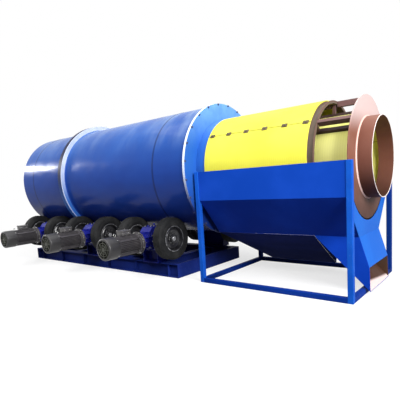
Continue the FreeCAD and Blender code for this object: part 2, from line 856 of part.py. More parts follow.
def beam_outline(middle):
    """Give the section of a base beam standing on the floor."""
    flange = "beam_flange_width / 2"
    web = "beam_web / 2"
    low = "beam_flange_thickness"
    high = "base_height - beam_flange_thickness"
    profile = (
        (flange, "0"), (flange, low), (web, low), (web, high), (flange, high), (flange, "base_height")
    )
    right = [(f"{middle} + {across}", up) for across, up in profile]
    left = [(f"{middle} - {across}", up) for across, up in reversed(profile)]
    return right + left


def cross_beams():
    """Beams across the base, under the tyre units and between them."""
    body = new_body("base_cross_beams")
    half = "(base_half_width - beam_flange_width)"
    sketch = new_sketch(body, "XZ_Plane", f"-{half}")
    for step in (-2, -1, 0, 1, 2):
        draw_loop(sketch, beam_outline(f"unit_middle_x + {step} * unit_pitch / 2"))
    extrude(body, sketch, f"2 * {half}")
    return body


def end_channels():
    """Channels across both ends of the base, with their webs outwards."""
    body = new_body("base_end_channels")
    sketch = new_sketch(body, "XZ_Plane", "-base_half_width")
    for side in ("-", ""):
        profile = (
            ("base_length / 2", "0"),
            ("base_length / 2", "base_height"),
            ("base_length / 2 - channel_depth", "base_height"),
            ("base_length / 2 - channel_depth", "base_height - beam_flange_thickness"),
            ("base_length / 2 - channel_web", "base_height - beam_flange_thickness"),
            ("base_length / 2 - channel_web", "beam_flange_thickness"),
            ("base_length / 2 - channel_depth", "beam_flange_thickness"),
            ("base_length / 2 - channel_depth", "0"),
        )
        draw_loop(sketch, [(f"{side}({across})", up) for across, up in profile])
    extrude(body, sketch, "2 * base_half_width")
    return body


def base_stiffeners():
    """Upright plates between the flanges on the outer side of both base beams."""
    depth = "((beam_flange_width - beam_web) / 2 - stiffener_inset)"
    web_face = "(base_half_width - (beam_flange_width - beam_web) / 2)"
    height = "base_height - 2 * beam_flange_thickness"
    members = []
    end = "(base_length / 2 - channel_depth - stiffener_end_gap)"
    for step in range(int(round(size("stiffener_count")))):
        across = f"-{end} + 2 * {end} * {step} / (stiffener_count - 1) - stiffener_thickness / 2"
        for name, along in (("front", f"-{web_face} - {depth}"), ("rear", web_face)):
            members.append(
                new_box(
                    f"stiffener_{name}",
                    (across, along, "beam_flange_thickness"),
                    ("stiffener_thickness", depth, height),
                )
            )
    return grouped("base_stiffeners", members)


def stands(label, row, length, depth, top):
    """Welded stands on a base beam, one at each tyre unit."""
    body = new_body(label, "0", row, "base_height")
    rise = f"({top} - base_height)"
    plates = new_sketch(body, "XY_Plane")
    columns = new_sketch(body, "XY_Plane", "stand_plate")
    caps = new_sketch(body, "XY_Plane", f"{rise} - stand_plate")
    for number, across in UNITS:
        for sketch in (plates, caps):
            low = (f"{across} - {length} / 2", f"-{depth} / 2")
            draw_rectangle(sketch, low, (f"{across} + {length} / 2", f"{depth} / 2"))
        inside = f"({length} / 2 - stand_web)"
        reach = f"({depth} / 2 - stand_web)"
        quarter = (
            (f"{length} / 2", reach), (inside, reach), (inside, "stand_web / 2"),
        )
        right_up = [(f"{across} + {x}", y) for x, y in quarter]
        left_up = [(f"{across} - {x}", y) for x, y in reversed(quarter)]
        left_down = [(f"{across} - {x}", f"-({y})") for x, y in quarter]
        right_down = [(f"{across} + {x}", f"-({y})") for x, y in reversed(quarter)]
        draw_loop(columns, right_up + left_up + left_down + right_down)
    extrude(body, plates, "stand_plate")
    extrude(body, columns, f"{rise} - 2 * stand_plate")
    extrude(body, caps, "stand_plate")
    return body


def pillow_blocks():
    """Pillow blocks with round housings that carry the rear axles, two to an axle."""
    body = new_body("rear_pillow_blocks", "0", "axle_offset", "axle_height")
    seats = [f"{across} {side} block_offset" for number, across in UNITS for side in ("-", "+")]
    levels = (
        ("block_length", "block_foot_half", "-block_height", "-block_height + block_foot_height"),
        ("block_web", "block_radius", "-block_height", "0"),
    )
    for length, half, low, high in levels:
        sketch = new_sketch(body, "XZ_Plane", f"-{half}")
        for seat in seats:
            draw_rectangle(sketch, (f"{seat} - {length} / 2", low), (f"{seat} + {length} / 2", high))
        extrude(body, sketch, f"2 * {half}")
    housings = new_sketch(body, "XZ_Plane")
    bores = new_sketch(body, "XZ_Plane")
    for seat in seats:
        draw_loop(housings, housing_outline(seat))
        ends = (f"{seat} - block_length", f"{seat} + block_length")
        draw_loop(bores, ring_outline(*ends, "0", "axle_radius + running_gap"))
    revolve(body, housings)
    revolve(body, bores, "PartDesign::Groove")
    return body


def housing_outline(seat):
    """Give the section of a bearing housing with a seal at each side of its barrel."""
    right = (
        ("block_length / 2", "0"),
        ("block_length / 2", "seal_radius"),
        ("block_length / 2 - seal_depth", "seal_radius"),
        ("block_length / 2 - seal_depth", "block_radius"),
    )
    left = [(f"{seat} - ({across})", radius) for across, radius in reversed(right)]
    return [(f"{seat} + {across}", radius) for across, radius in right] + left


def hopper_posts():
    """Four posts of the hopper's frame."""
    members = [
        new_box(f"post_{name}", (across, along, "0"), ("tube", "tube", HOPPER_TOP))
        for name, across, along in (
            ("feed_front", HOPPER_START, "-hopper_half_width"),
            ("feed_rear", HOPPER_START, "hopper_half_width - tube"),
            ("end_front", HOPPER_BACK_X, "-hopper_half_width"),
            ("end_rear", HOPPER_BACK_X, "hopper_half_width - tube"),
        )
    ]
    return grouped("hopper_posts", members)


def hopper_rails():
    """Rails on the floor between the posts."""
    long_side = (f"{HOPPER_BACK_X} - {HOPPER_FACE_X}", "tube", "tube")
    short_side = ("tube", "2 * (hopper_half_width - tube)", "tube")
    members = [
        new_box("rail_front", (HOPPER_FACE_X, "-hopper_half_width", "0"), long_side),
        new_box("rail_rear", (HOPPER_FACE_X, "hopper_half_width - tube", "0"), long_side),
        new_box("rail_feed", (HOPPER_START, "-hopper_half_width + tube", "0"), short_side),
        new_box("rail_end", (HOPPER_BACK_X, "-hopper_half_width + tube", "0"), short_side),
    ]
    return grouped("hopper_rails", members)


def hopper_side_plates():
    """Upright side plates between the posts."""
    lengths = (f"{HOPPER_BACK_X} - {HOPPER_FACE_X}", "plate", f"{HOPPER_TOP} - {WALL_FOOT}")
    members = [
        new_box("side_plate_front", (HOPPER_FACE_X, f"-{WALL_Y}", WALL_FOOT), lengths),
        new_box("side_plate_rear", (HOPPER_FACE_X, f"{WALL_Y} - plate", WALL_FOOT), lengths),
    ]
    return grouped("hopper_side_plates", members)


def hopper_slope_plates():
    """Sloping plates from the side plates in to the knee."""
    body = new_body("hopper_slope_plates")
    sketch = new_sketch(body, "YZ_Plane", f"{HOPPER_FACE_X} + plate")
    draw_loop(
        sketch,
        (
            (f"-{WALL_Y}", WALL_FOOT),
            ("-knee_half", KNEE_Z),
            (f"-knee_half + {SLOPE_ACROSS}", KNEE_Z),
            (f"-{WALL_Y} + {SLOPE_ACROSS}", WALL_FOOT),
        ),
    )
    slope = extrude(body, sketch, f"{HOPPER_BACK_X} - {HOPPER_FACE_X} - 2 * plate")
    mirror_across(body, [slope], "XZ_Plane")
    return body


def notched_plate(label, start, notch_radius, half_outline):
    """Plate across the hopper, the same on both sides, cut out round the drum."""
    body = new_body(label)
    sketch = new_sketch(body, "YZ_Plane", start)
    left = [(f"-({along})", up) for along, up in half_outline]
    right = [(along, up) for along, up in reversed(half_outline)]
    draw_loop(sketch, left + right)
    extrude(body, sketch, "plate")
    notch = new_sketch(body, "YZ_Plane", start)
    draw_circle(notch, "0", AXIS_Z, notch_radius)
    pocket = body.newObject("PartDesign::Pocket", label + "_notch")
    pocket.Profile = notch
    pocket.Reversed = True
    pocket.setExpression("Length", tied("plate"))
    return body


def cross_plates():
    """Both end plates out to the posts, and the partition between the slope plates."""
    inside = f"({WALL_Y} - plate)"
    full = ((inside, HOPPER_TOP), (inside, WALL_FOOT), ("knee_half", KNEE_Z))
    fitted = (
        (inside, HOPPER_TOP),
        (inside, WALL_FOOT),
        (f"{WALL_Y} - {SLOPE_ACROSS}", WALL_FOOT),
        (f"knee_half - {SLOPE_ACROSS}", KNEE_Z),
    )
    screen_notch = "panel_radius + clamp_thickness + screen_clearance"
    ring_notch = "ring_plate_radius + ring_clearance"
    return [
        notched_plate("hopper_feed_plate", HOPPER_FACE_X, screen_notch, full),
        notched_plate("hopper_partition", PARTITION_X, screen_notch, fitted),
        notched_plate("hopper_end_plate", f"{HOPPER_BACK_X} - plate", ring_notch, full),
    ]


def corner(across, along, up):
    """Place a construction point by its expressions and read it back."""
    point = DOCUMENT.addObject("Part::Vertex", "corner")
    for key, text in (("X", across), ("Y", along), ("Z", up)):
        point.setExpression(key, tied(text))
    point.recompute()
    return FreeCAD.Vector(point.X.Value, point.Y.Value, point.Z.Value)


def flat_plate(label, corners):
    """Flat plate through three or more corners, thickened away from the hopper's inside."""
    outline = Part.makePolygon(corners + corners[:1])
    face = Part.Face(outline)
    outwards = (corners[1] - corners[0]).cross(corners[2] - corners[0]).normalize()
    feature = DOCUMENT.addObject("Part::Feature", label)
    feature.Shape = face.extrude(outwards * size("plate"))
    return feature


def undersize_chute():
    """Bottom plate that slopes to the rear outlet, and the walls on both sides of it."""
    feed_x = f"{HOPPER_FACE_X} + plate"
    outlet_y = "knee_half + outlet_reach"
    feed_front = corner(feed_x, "-knee_half", KNEE_Z)
    feed_rear = corner(feed_x, "knee_half", KNEE_Z)
    end_front = corner(PARTITION_X, "-knee_half", KNEE_Z)
    end_rear = corner(PARTITION_X, "knee_half", KNEE_Z)
    outlet_feed = corner(f"{feed_x} + outlet_feed_inset", outlet_y, "outlet_height")
    outlet_end = corner(f"{PARTITION_X} - outlet_end_inset", outlet_y, "outlet_height")
    return [
        flat_plate("undersize_floor", [feed_front, outlet_feed, outlet_end, end_front]),
        flat_plate("undersize_feed_wall", [feed_front, feed_rear, outlet_feed]),
        flat_plate("undersize_end_wall", [end_rear, end_front, outlet_end]),
    ]


def chute_sides():
    """Side plates of the oversize chute."""
    body = new_body("chute_sides")
    sketch = new_sketch(body, "XZ_Plane", "knee_half - plate")
    draw_loop(
        sketch,
        (
            (PARTITION_END, KNEE_Z),
            (PARTITION_END, f"{KNEE_Z} - plate"),
            (CHUTE_TOE_X, "chute_toe_height - plate"),
            (CHUTE_TOE_X, "chute_toe_height"),
            (CHUTE_BROW_X, "chute_brow_height"),
            (HOPPER_BACK_X, KNEE_Z),
        ),
    )
    side = extrude(body, sketch, "plate")
    mirror_across(body, [side], "XZ_Plane")
    return body


def chute_floor():
    """Sloping floor of the oversize chute, out to its toe."""
    body = new_body("chute_floor")
    sketch = new_sketch(body, "XZ_Plane", "-(knee_half - plate)")
    draw_loop(
        sketch,
        (
            (PARTITION_END, KNEE_Z),
            (PARTITION_END, f"{KNEE_Z} - plate"),
            (CHUTE_TOE_X, "chute_toe_height - plate"),
            (CHUTE_TOE_X, "chute_toe_height"),
        ),
    )
    extrude(body, sketch, "2 * (knee_half - plate)")
    return body


def chute_cover():
    """Cover of the oversize chute, from the end plate down to its brow."""
    body = new_body("chute_cover")
    sketch = new_sketch(body, "XZ_Plane", "-(knee_half - plate)")
    draw_loop(
        sketch,
        (
            (f"{HOPPER_BACK_X} - plate", KNEE_Z),
            (f"{CHUTE_BROW_X} - plate", "chute_brow_height"),
            (CHUTE_BROW_X, "chute_brow_height"),
            (HOPPER_BACK_X, KNEE_Z),
        ),
    )
    extrude(body, sketch, "2 * (knee_half - plate)")
    return body


def hopper():
    """Hopper with its frame, its two chutes and the partition between them."""
    return [
        hopper_posts(),
        hopper_rails(),
        hopper_side_plates(),
        hopper_slope_plates(),
        *cross_plates(),
        *undersize_chute(),
        chute_sides(),
        chute_floor(),
        chute_cover(),
    ]


def drums():
    """Everything that turns about the drums' axis."""
    return [
        scrubber_shell(),
        guide_ring(),
        feed_head(),
        feed_collar(),
        lifters(),
        discharge_flange(),
        discharge_head(),
        neck_hoop(),
        hoop("middle_hoop", MID_HOOP_X),
        hoop("window_hoop", HOOP_X),
        *screen_bars(),
        screen_panels(),
        seam_clamps(),
        inner_screen(),
        ring_plate(),
        discharge_collar(),
    ]


def drives():
    """Gear reducers and motors."""
    made = []
    for number, across in UNITS:
        made.append(gearbox(number, across))
        made.append(motor(number, across))
    return made + [fan_cowls(), terminal_boxes()]


def base():
    """Base frame with the stands and pillow blocks on it."""
    front_row = "(-axle_offset + front_stand_setback)"
    return [
        side_beams(),
        cross_beams(),
        end_channels(),
        base_stiffeners(),
        stands(
            "front_stands",
            front_row,
            "front_stand_length",
            "front_stand_depth",
            "(axle_height - housing_drop)",
        ),
        stands(
            "rear_stands",
            "axle_offset",
            "rear_stand_length",
            "rear_stand_depth",
            "(axle_height - block_height)",
        ),
        pillow_blocks(),
    ]


def check_document():
    """Stop if any object failed."""
    for item in DOCUMENT.Objects:
        if "Invalid" in item.State or "Error" in item.State:
            raise RuntimeError(f"{item.Label} failed: {item.State}")


def write_parts(parts):
    """Write each sub-part's shape to its own file."""
    os.makedirs("parts", exist_ok=True)
    for part in parts:
        if part.Shape.isNull() or not part.Shape.isValid():
            raise RuntimeError(f"{part.Label} has no valid shape")
        part.Shape.exportStep(f"parts/{part.Label}.step")
        print(part.Label, len(part.Shape.Solids), round(part.Shape.Volume / 1e6, 2))


PARTS = drums() + wheels() + drives() + base() + hopper()
DOCUMENT.recompute()
check_document()
write_parts(PARTS)
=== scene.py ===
"""Looks of a trommel screen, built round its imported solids.

Metres, in the frame of the solids: +X runs towards the discharge, -Y is the side with the motors
and +Z is up. Each sub-assembly reads its sizes from the solids that it dresses.
"""
from __future__ import annotations

import logging
import math
from collections.abc import Callable, Iterable, Sequence
from dataclasses import dataclass, field
from enum import Enum

import bmesh
import bpy
from mathutils import Matrix, Vector

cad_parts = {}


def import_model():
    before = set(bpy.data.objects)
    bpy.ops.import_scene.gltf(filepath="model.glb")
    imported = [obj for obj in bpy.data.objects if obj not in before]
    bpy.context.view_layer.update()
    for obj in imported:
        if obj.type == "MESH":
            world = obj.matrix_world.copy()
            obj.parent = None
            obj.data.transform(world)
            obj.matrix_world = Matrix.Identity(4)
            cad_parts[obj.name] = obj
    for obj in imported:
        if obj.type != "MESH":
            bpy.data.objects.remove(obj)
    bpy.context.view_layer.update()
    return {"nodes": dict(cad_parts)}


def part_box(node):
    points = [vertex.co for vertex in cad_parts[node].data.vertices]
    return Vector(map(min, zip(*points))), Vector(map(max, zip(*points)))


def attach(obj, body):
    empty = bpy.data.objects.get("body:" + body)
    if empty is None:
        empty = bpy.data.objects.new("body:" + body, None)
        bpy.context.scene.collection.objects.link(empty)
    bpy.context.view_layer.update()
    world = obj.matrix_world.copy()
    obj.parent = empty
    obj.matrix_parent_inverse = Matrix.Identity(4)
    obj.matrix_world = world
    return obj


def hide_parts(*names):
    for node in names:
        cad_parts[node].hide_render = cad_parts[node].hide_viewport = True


LOG = logging.getLogger("trommel")
Point = tuple[float, float, float]
Colour = tuple[float, float, float]
Sockets = dict[str, object]


def operator(operation: str, last: bool = False) -> Callable[..., Wire]:
    """Make a method that feeds a wire and other values to a Math node.

    Args:
        operation: What the node does.
        last: True where the wire comes after the other value.

    Returns:
        The method.
    """

    def method(self: Wire, *others: Wire | float) -> Wire:
        """Add the node."""
        values = (*others, self) if last else (self, *others)
        return self.tree.add("ShaderNodeMath", {"operation": operation}, dict(enumerate(values)))

    return method


class Wire:
    """A socket in a material's tree that takes part in Python arithmetic."""

    __add__ = __radd__ = operator("ADD")
    __sub__ = operator("SUBTRACT")
    __rsub__ = operator("SUBTRACT", last=True)
    __mul__ = __rmul__ = operator("MULTIPLY")
    __truediv__ = operator("DIVIDE")
    __pow__ = operator("POWER")
    __mod__ = operator("FLOORED_MODULO")
    __abs__ = operator("ABSOLUTE")
    angle_from = operator("ARCTAN2")
    below = operator("LESS_THAN")
    above = operator("GREATER_THAN")
    most = operator("MAXIMUM")

    def __init__(self, tree: Tree, socket: bpy.types.NodeSocket | None) -> None:
        """Keep the tree and the socket."""
        self.tree = tree
        self.socket = socket

    def ramp(self, start: float, end: float) -> Wire:
        """Rise smoothly from 0 at start to 1 at end."""
        return self.tree.add(
            "ShaderNodeMapRange",
            {"interpolation_type": "SMOOTHSTEP"},
            {"Value": self, "From Min": start, "From Max": end},
        )


class Tree:
    """The node tree of one material or world."""

    def __init__(self, tree: bpy.types.NodeTree) -> None:
        """Empty the tree."""
        self.tree = tree
        tree.nodes.clear()

    def add(
        self,
        kind: str,
        settings: dict[str, object] | None = None,
        inputs: dict[str | int, object] | None = None,
        output: str | int = 0,
    ) -> Wire:
        """Add a node.

        Args:
            kind: The node's type.
            settings: Its own settings, set before its sockets.
            inputs: Values or wires by socket name or number.
            output: The socket that is handed back.

        Returns:
            A wire from that output.
        """
        node = self.tree.nodes.new(kind)
        for key, value in (settings or {}).items():
            setattr(node, key, value)
        for key, value in (inputs or {}).items():
            if isinstance(value, Wire):
                self.tree.links.new(value.socket, node.inputs[key])
            elif isinstance(value, tuple) and len(value) == 3 and node.inputs[key].type == "RGBA":
                node.inputs[key].default_value = (*value, 1.0)
            else:
                node.inputs[key].default_value = value
        return Wire(self, node.outputs[output] if node.outputs else None)

    def mix(self, share: Wire | float, low: Wire | Colour, high: Wire | Colour) -> Wire:
        """Blend two colours by a share."""
        sockets = {"Factor": share, 6: low, 7: high}
        return self.add("ShaderNodeMix", {"data_type": "RGBA"}, sockets, 2)

    def place(self) -> Wire:
        """Object coordinates."""
        return self.add("ShaderNodeTexCoord", output="Object")

    def parts(self, vector: Wire) -> tuple[Wire, Wire, Wire]:
        """Split a vector into its three numbers."""
        split = self.add("ShaderNodeSeparateXYZ", inputs={0: vector})
        outputs = split.socket.node.outputs
        return tuple(Wire(self, outputs[number]) for number in range(3))

    def radius(self, axis_z: float) -> Wire:
        """Distance from the drum's axis."""
        across, up = self.parts(self.place())[1:]
        return (across**2.0 + (up - axis_z) ** 2.0) ** 0.5

    def stretched(self, scale: Point) -> Wire:
        """Object coordinates scaled along each axis."""
        product = {"operation": "MULTIPLY"}
        return self.add("ShaderNodeVectorMath", product, {0: self.place(), 1: scale})

    def noise(self, scale: float, detail: float = 3.0, vector: Wire | None = None) -> Wire:
        """Noise between 0 and 1, with scale in waves to a metre."""
        where = vector or self.place()
        return self.add(
            "ShaderNodeTexNoise", inputs={"Vector": where, "Scale": scale, "Detail": detail}
        )

    def bump(self, height: Wire, depth: float) -> Wire:
        """Normal that follows a height, with depth in metres."""
        return self.add(
            "ShaderNodeBump", inputs={"Height": height, "Distance": depth, "Strength": 1.0}
        )

    def surface(self, sockets: Sockets) -> None:
        """End the tree in one Principled shader."""
        shader = self.add("ShaderNodeBsdfPrincipled", inputs=sockets)
        self.add("ShaderNodeOutputMaterial", inputs={"Surface": shader})


def new_tree(name: str) -> tuple[bpy.types.Material, Tree]:
    """Make a named material and its empty tree."""
    material = bpy.data.materials.new(name)
    material.use_nodes = True
    return material, Tree(material.node_tree)


@dataclass(frozen=True)
class Finish:
    """A surface as it is painted, cast or moulded.

    Attributes:
        name: The material's name.
        slot: The record's material slot, or none for small fasteners; not used.
    """

    name: str
    slot: str

    def sockets(self, tree: Tree) -> Sockets:
        """Work out the shader's inputs in a new tree."""
        raise NotImplementedError

    def material(self) -> bpy.types.Material:
        """Make the material."""
        material, tree = new_tree(self.name)
        tree.surface(self.sockets(tree))
        return material


@dataclass(frozen=True)
class Paint(Finish):
    """Sprayed enamel, with a skin of clear gloss and uneven tone.

    Attributes:
        colour: Paint on the upper parts.
        shade: Paint where it is thin or dusty.
        rough: Roughness of the paint.
        gloss: Weight of the clear skin.
        shine: Specular level of the paint under it.
        peel: Depth of the orange peel, in metres.
        dark: Paint on the rear side, beyond y = 0, darker as painted shade.
        grime: Dirt in small specks.
    """

    colour: Colour
    shade: Colour
    rough: float = 0.35
    gloss: float = 0.5
    peel: float = 0.0004
    shine: float = 0.1
    dark: Colour | None = None
    grime: Colour = (0.25, 0.27, 0.32)

    def sockets(self, tree: Tree) -> Sockets:
        """Work out the shader's inputs."""
        cloud = tree.noise(1.3, 4.0)
        streak = tree.noise(2.0, 3.0, tree.stretched((0.35, 0.35, 2.2)))
        dust = tree.noise(38.0, 6.0)
        share = (cloud * 0.6 + streak * 0.4).ramp(0.36, 0.66)
        base = tree.mix(share, self.shade, self.colour)
        colour = tree.mix(dust.ramp(0.56, 0.74) * 0.06, base, self.grime)
        # Painted shade: darker on the rear side, beyond y = 0.
        if self.dark:
            across = tree.parts(tree.place())[1]
            colour = tree.mix(across.ramp(-0.2, 0.6) * 0.85, colour, self.dark)
        rough = dust * 0.10 + (self.rough - 0.05) + share * -0.04
        peel = tree.bump(tree.noise(26.0, 2.0) * self.peel, 1.0)
        return {
            "Base Color": colour,
            "Roughness": rough,
            "Specular IOR Level": self.shine,
            "Coat Weight": self.gloss,
            "Coat Roughness": 0.09,
            "Normal": peel,
        }


@dataclass(frozen=True)
class DrumSkin(Finish):
    """Gloss enamel on rolled plate: pale on top as painted light and dark underneath as painted
    shade, with a painted reflection over the top and painted shade beside the welds.

    Attributes:
        axis_z: Height of the drum's axis.
        top: Paint on the upper side, lighter as painted light.
        side: Paint at the height of the axis.
        low: Paint underneath, darker as painted shade.
        painted_reflection: A pale painted reflection that clouds the top, most between the last weld
            and the flange.
        weld_shade: Painted shade beside the welds.
        seams: Places along X of the welds.
        wave: Depth of the broad dents of the plate, in metres.
    """

    axis_z: float
    top: Colour = (0.022, 0.098, 0.360)
    side: Colour = (0.009, 0.046, 0.265)
    low: Colour = (0.007, 0.017, 0.150)
    painted_reflection: Colour = (0.26, 0.36, 0.50)
    weld_shade: Colour = (0.004, 0.008, 0.040)
    seams: tuple[float, ...] = (-1.730, 1.900)
    wave: float = 0.016

    def sockets(self, tree: Tree) -> Sockets:
        """Work out the shader's inputs."""
        along, _, up = tree.parts(tree.place())
        height = up - self.axis_z
        cloud = tree.noise(1.5, 4.0).ramp(0.34, 0.68)
        streak = tree.noise(2.2, 4.0, tree.stretched((1.6, 0.5, 0.5))).ramp(0.35, 0.70)
        # Painted shade underneath and painted light on top.
        colour = tree.mix(height.ramp(-0.95, -0.05), self.low, self.side)
        colour = tree.mix(height.ramp(-0.10, 0.90), colour, self.top)
        colour = tree.mix(cloud * 0.25, colour, self.low)
        # Painted reflection: pales the top, most between the last weld and the flange.
        reflection_share = height.ramp(0.25, 0.98) * (along.ramp(1.55, 2.15) * 0.65 + 0.35)
        colour = tree.mix(reflection_share * streak * 0.75, colour, self.painted_reflection)
        # Painted shade beside the welds.
        for seam in self.seams:
            near = 1.0 - abs(along - seam).ramp(0.008, 0.026)
            colour = tree.mix(near * 0.6, colour, self.weld_shade)
        grit = tree.noise(38.0, 6.0)
        swell = tree.noise(1.9, 1.0, tree.stretched((1.0, 1.0, 1.8)))
        return {
            "Base Color": colour,
            "Roughness": grit * 0.10 + 0.20,
            "Specular IOR Level": 0.06,
            "Coat Weight": 0.12,
            "Coat Roughness": 0.09,
            "Normal": tree.bump(tree.noise(26.0, 2.0) * 0.0003 + swell * self.wave, 1.0),
        }


@dataclass(frozen=True)
class RingPaint(Finish):
    """Painted ring with a pale painted reflection on the face, painted shade on its lower part, a
    painted highlight along the edge and a rim of another tone.

    Attributes:
        face: Paint on the face.
        low: Paint on its lower part, darker as painted shade.
        rim: Colour of the rolled rim, darker below as painted shade.
        axis_z: Height of the drum's axis.
        edge: Outer radius.
        dust: Share of the pale painted reflection on the face's upper part.
        line: Share of the painted highlight along the edge.
        span: Heights over the axis between which the painted reflection thickens.
        pale: Colour of the painted reflection and highlight.
    """

    face: Colour
    low: Colour
    rim: Colour
    axis_z: float
    edge: float
    dust: float
    line: float
    span: tuple[float, float] = (-0.45, 0.35)
    pale: Colour = (0.70, 0.74, 0.84)

    def sockets(self, tree: Tree) -> Sockets:
        """Work out the shader's inputs."""
        height = tree.parts(tree.place())[2] - self.axis_z
        radius = tree.radius(self.axis_z)
        smear = tree.noise(5.0, 4.0).ramp(0.25, 0.65)
        # Painted reflection on the face's upper part.
        face = height.ramp(*self.span) * (smear * 0.3 + 0.7) * self.dust
        # Painted highlight along the edge, on the lower part.
        line = radius.ramp(self.edge - 0.024, self.edge - 0.004) * self.line
        line = line * height.ramp(-1.1, -0.2)
        # Painted shade: darker on the lower part.
        paint = tree.mix(height.ramp(-0.85, 0.15), self.low, self.face)
        colour = tree.mix(face.most(line), paint, self.pale)
        # Painted shade on the rim's lower part.
        rim = tree.mix(height.ramp(-0.6, 0.2), self.low, self.rim)
        colour = tree.mix(radius.above(self.edge - 0.0015), colour, rim)
        grit = tree.noise(60.0, 4.0)
        return {
            "Base Color": colour,
            "Roughness": grit * 0.15 + 0.36,
            "Specular IOR Level": 0.15,
            "Normal": tree.bump(grit, 0.0004),
        }


@dataclass(frozen=True)
class Primer(Finish):
    """Flat red-brown primer on rolled plate.

    Attributes:
        colour: The primer's own colour.
        pale: Chalky film over it, and the painted light on its upper part.
        chalk: Share of the film, from 0 to 1.
        rough: Roughness.
        film: Heights between which the pale film closes over the upper part as painted light.
        foot: Heights between which the primer clears from its darker foot, painted shade.
        lip: Place along X beyond which an edge is bare.
        bare: Colour of that edge.
    """

    colour: Colour
    pale: Colour
    chalk: float = 0.3
    rough: float = 0.55
    film: tuple[float, float] = (9.0, 10.0)
    foot: tuple[float, float] = (-2.0, -1.0)
    lip: float = 99.0
    bare: Colour = (0.80, 0.72, 0.70)

    def sockets(self, tree: Tree) -> Sockets:
        """Work out the shader's inputs."""
        cloud = tree.noise(2.4, 5.0)
        grit = tree.noise(90.0, 4.0)
        film = cloud.ramp(0.35, 0.75) * self.chalk + grit.ramp(0.55, 0.8) * 0.08
        along, _, height = tree.parts(tree.place())
        # Painted light: the pale film closes over the upper part.
        film = film.most(height.ramp(*self.film) * 0.9)
        # Painted shade: the primer darkens towards its foot.
        foot = tuple(0.22 * tone for tone in self.colour)
        primer = tree.mix(height.ramp(*self.foot), foot, self.colour)
        colour = tree.mix(film, primer, self.pale)
        colour = tree.mix(along.above(self.lip), colour, self.bare)
        return {
            "Base Color": colour,
            "Roughness": grit * 0.2 + (self.rough - 0.1),
            "Specular IOR Level": 0.1,
            "Normal": tree.bump(grit, 0.0005),
        }


@dataclass(frozen=True)
class ScreenCloth(Finish):
    """Moulded yellow screening with rows of fine slots along the drum.

    Attributes:
        colour: The moulding's colour.
        slit: Colour in the slots, darker as painted shade.
        axis_z: Height of the drum's axis.
        radius: Radius at which the slots are spaced.
        pitch_along: Pitch of the slots along X.
        pitch_round: Their pitch round the drum.
        seams: Seams between the panels.
        first_seam: Angle of one of them from the top, in degrees.
        faded: Colour of its faded patches.
        stained: Colour of its seams.
    """

    colour: Colour
    slit: Colour
    axis_z: float
    radius: float
    pitch_along: float = 0.030
    pitch_round: float = 0.012
    seams: int = 6
    first_seam: float = 53.5
    faded: Colour = (0.88, 0.86, 0.12)
    stained: Colour = (0.16, 0.11, 0.03)

    def sockets(self, tree: Tree) -> Sockets:
        """Work out the shader's inputs."""
        along, across, up = tree.parts(tree.place())
        turn = across.angle_from(up - self.axis_z)
        steps = round(2 * math.pi * self.radius / self.pitch_round)
        row = (turn * (steps / (2 * math.pi)) + 0.25) % 1.0
        cell = (along / self.pitch_along) % 1.0
        open_round = abs(row - 0.5).below(0.2)
        open_along = abs(cell - 0.5).below(0.32)
        slit = open_round * open_along
        cloud = tree.noise(1.7, 3.0)
        tone = tree.mix(cloud.ramp(0.3, 0.7) * 0.35, self.colour, self.faded)
        # Painted shade in the slots.
        colour = tree.mix(slit * 0.25, tone, self.slit)
        part = 2 * math.pi / self.seams
        seam = (turn + (math.radians(self.first_seam) + part / 2)) % part
        stain = 1.0 - abs(seam - part / 2).ramp(0.004, 0.009)
        colour = tree.mix(stain * 0.75, colour, self.stained)
        return {
            "Base Color": colour,
            "Roughness": 0.5,
            "Specular IOR Level": 0.12,
            "Normal": tree.bump(1.0 - slit, 0.0006),
        }


@dataclass(frozen=True)
class Rimmed(Finish):
    """Hoop whose rims and web differ in tone.

    Attributes:
        rim: Colour outside the limit.
        web: Colour inside it.
        axis_z: Height of the drum's axis.
        limit: Radius between web and rims.
        dirt: Dirt on the web.
    """

    rim: Colour
    web: Colour
    axis_z: float
    limit: float
    dirt: Colour = (0.17, 0.125, 0.09)

    def sockets(self, tree: Tree) -> Sockets:
        """Work out the shader's inputs."""
        radius = tree.radius(self.axis_z)
        grit = tree.noise(60.0, 5.0)
        web = tree.mix(grit.ramp(0.4, 0.7) * 0.4, self.web, self.dirt)
        return {
            "Base Color": tree.mix(radius.above(self.limit), web, self.rim),
            "Roughness": grit * 0.2 + 0.45,
            "Specular IOR Level": 0.12,
            "Normal": tree.bump(grit, 0.0004),
        }


@dataclass(frozen=True)
class Rubber(Finish):
    """Old tyre rubber with dust in its low places."""

    colour: Colour
    dust: Colour
    rough: float = 0.72

    def sockets(self, tree: Tree) -> Sockets:
        """Work out the shader's inputs."""
        cloud = tree.noise(5.0, 5.0)
        grain = tree.noise(160.0, 3.0)
        film = cloud.ramp(0.38, 0.72) * 0.55 + grain.ramp(0.5, 0.9) * 0.15
        return {
            "Base Color": tree.mix(film, self.colour, self.dust),
            "Roughness": cloud * 0.2 + (self.rough - 0.1),
            "Specular IOR Level": 0.15,
            "Normal": tree.bump(grain, 0.0006),
        }


@dataclass(frozen=True)
class Metal(Finish):
    """Cast, pressed or plated metal with a worn film.

    Attributes:
        colour: The clean surface.
        worn: Colour of scratches and stains.
        metallic: One for bare metal.
        rough: Roughness.
        grain: Depth of the cast grain, in metres.
    """

    colour: Colour
    worn: Colour
    metallic: float = 0.0
    rough: float = 0.45
    grain: float = 0.0006

    def sockets(self, tree: Tree) -> Sockets:
        """Work out the shader's inputs."""
        cloud = tree.noise(7.0, 5.0)
        grit = tree.noise(140.0, 4.0)
        worn = cloud.ramp(0.48, 0.75) * 0.5 + grit.ramp(0.6, 0.8) * 0.3
        return {
            "Base Color": tree.mix(worn, self.colour, self.worn),
            "Metallic": self.metallic,
            "Roughness": grit * 0.16 + (self.rough - 0.08),
            "Normal": tree.bump(grit, self.grain),
        }


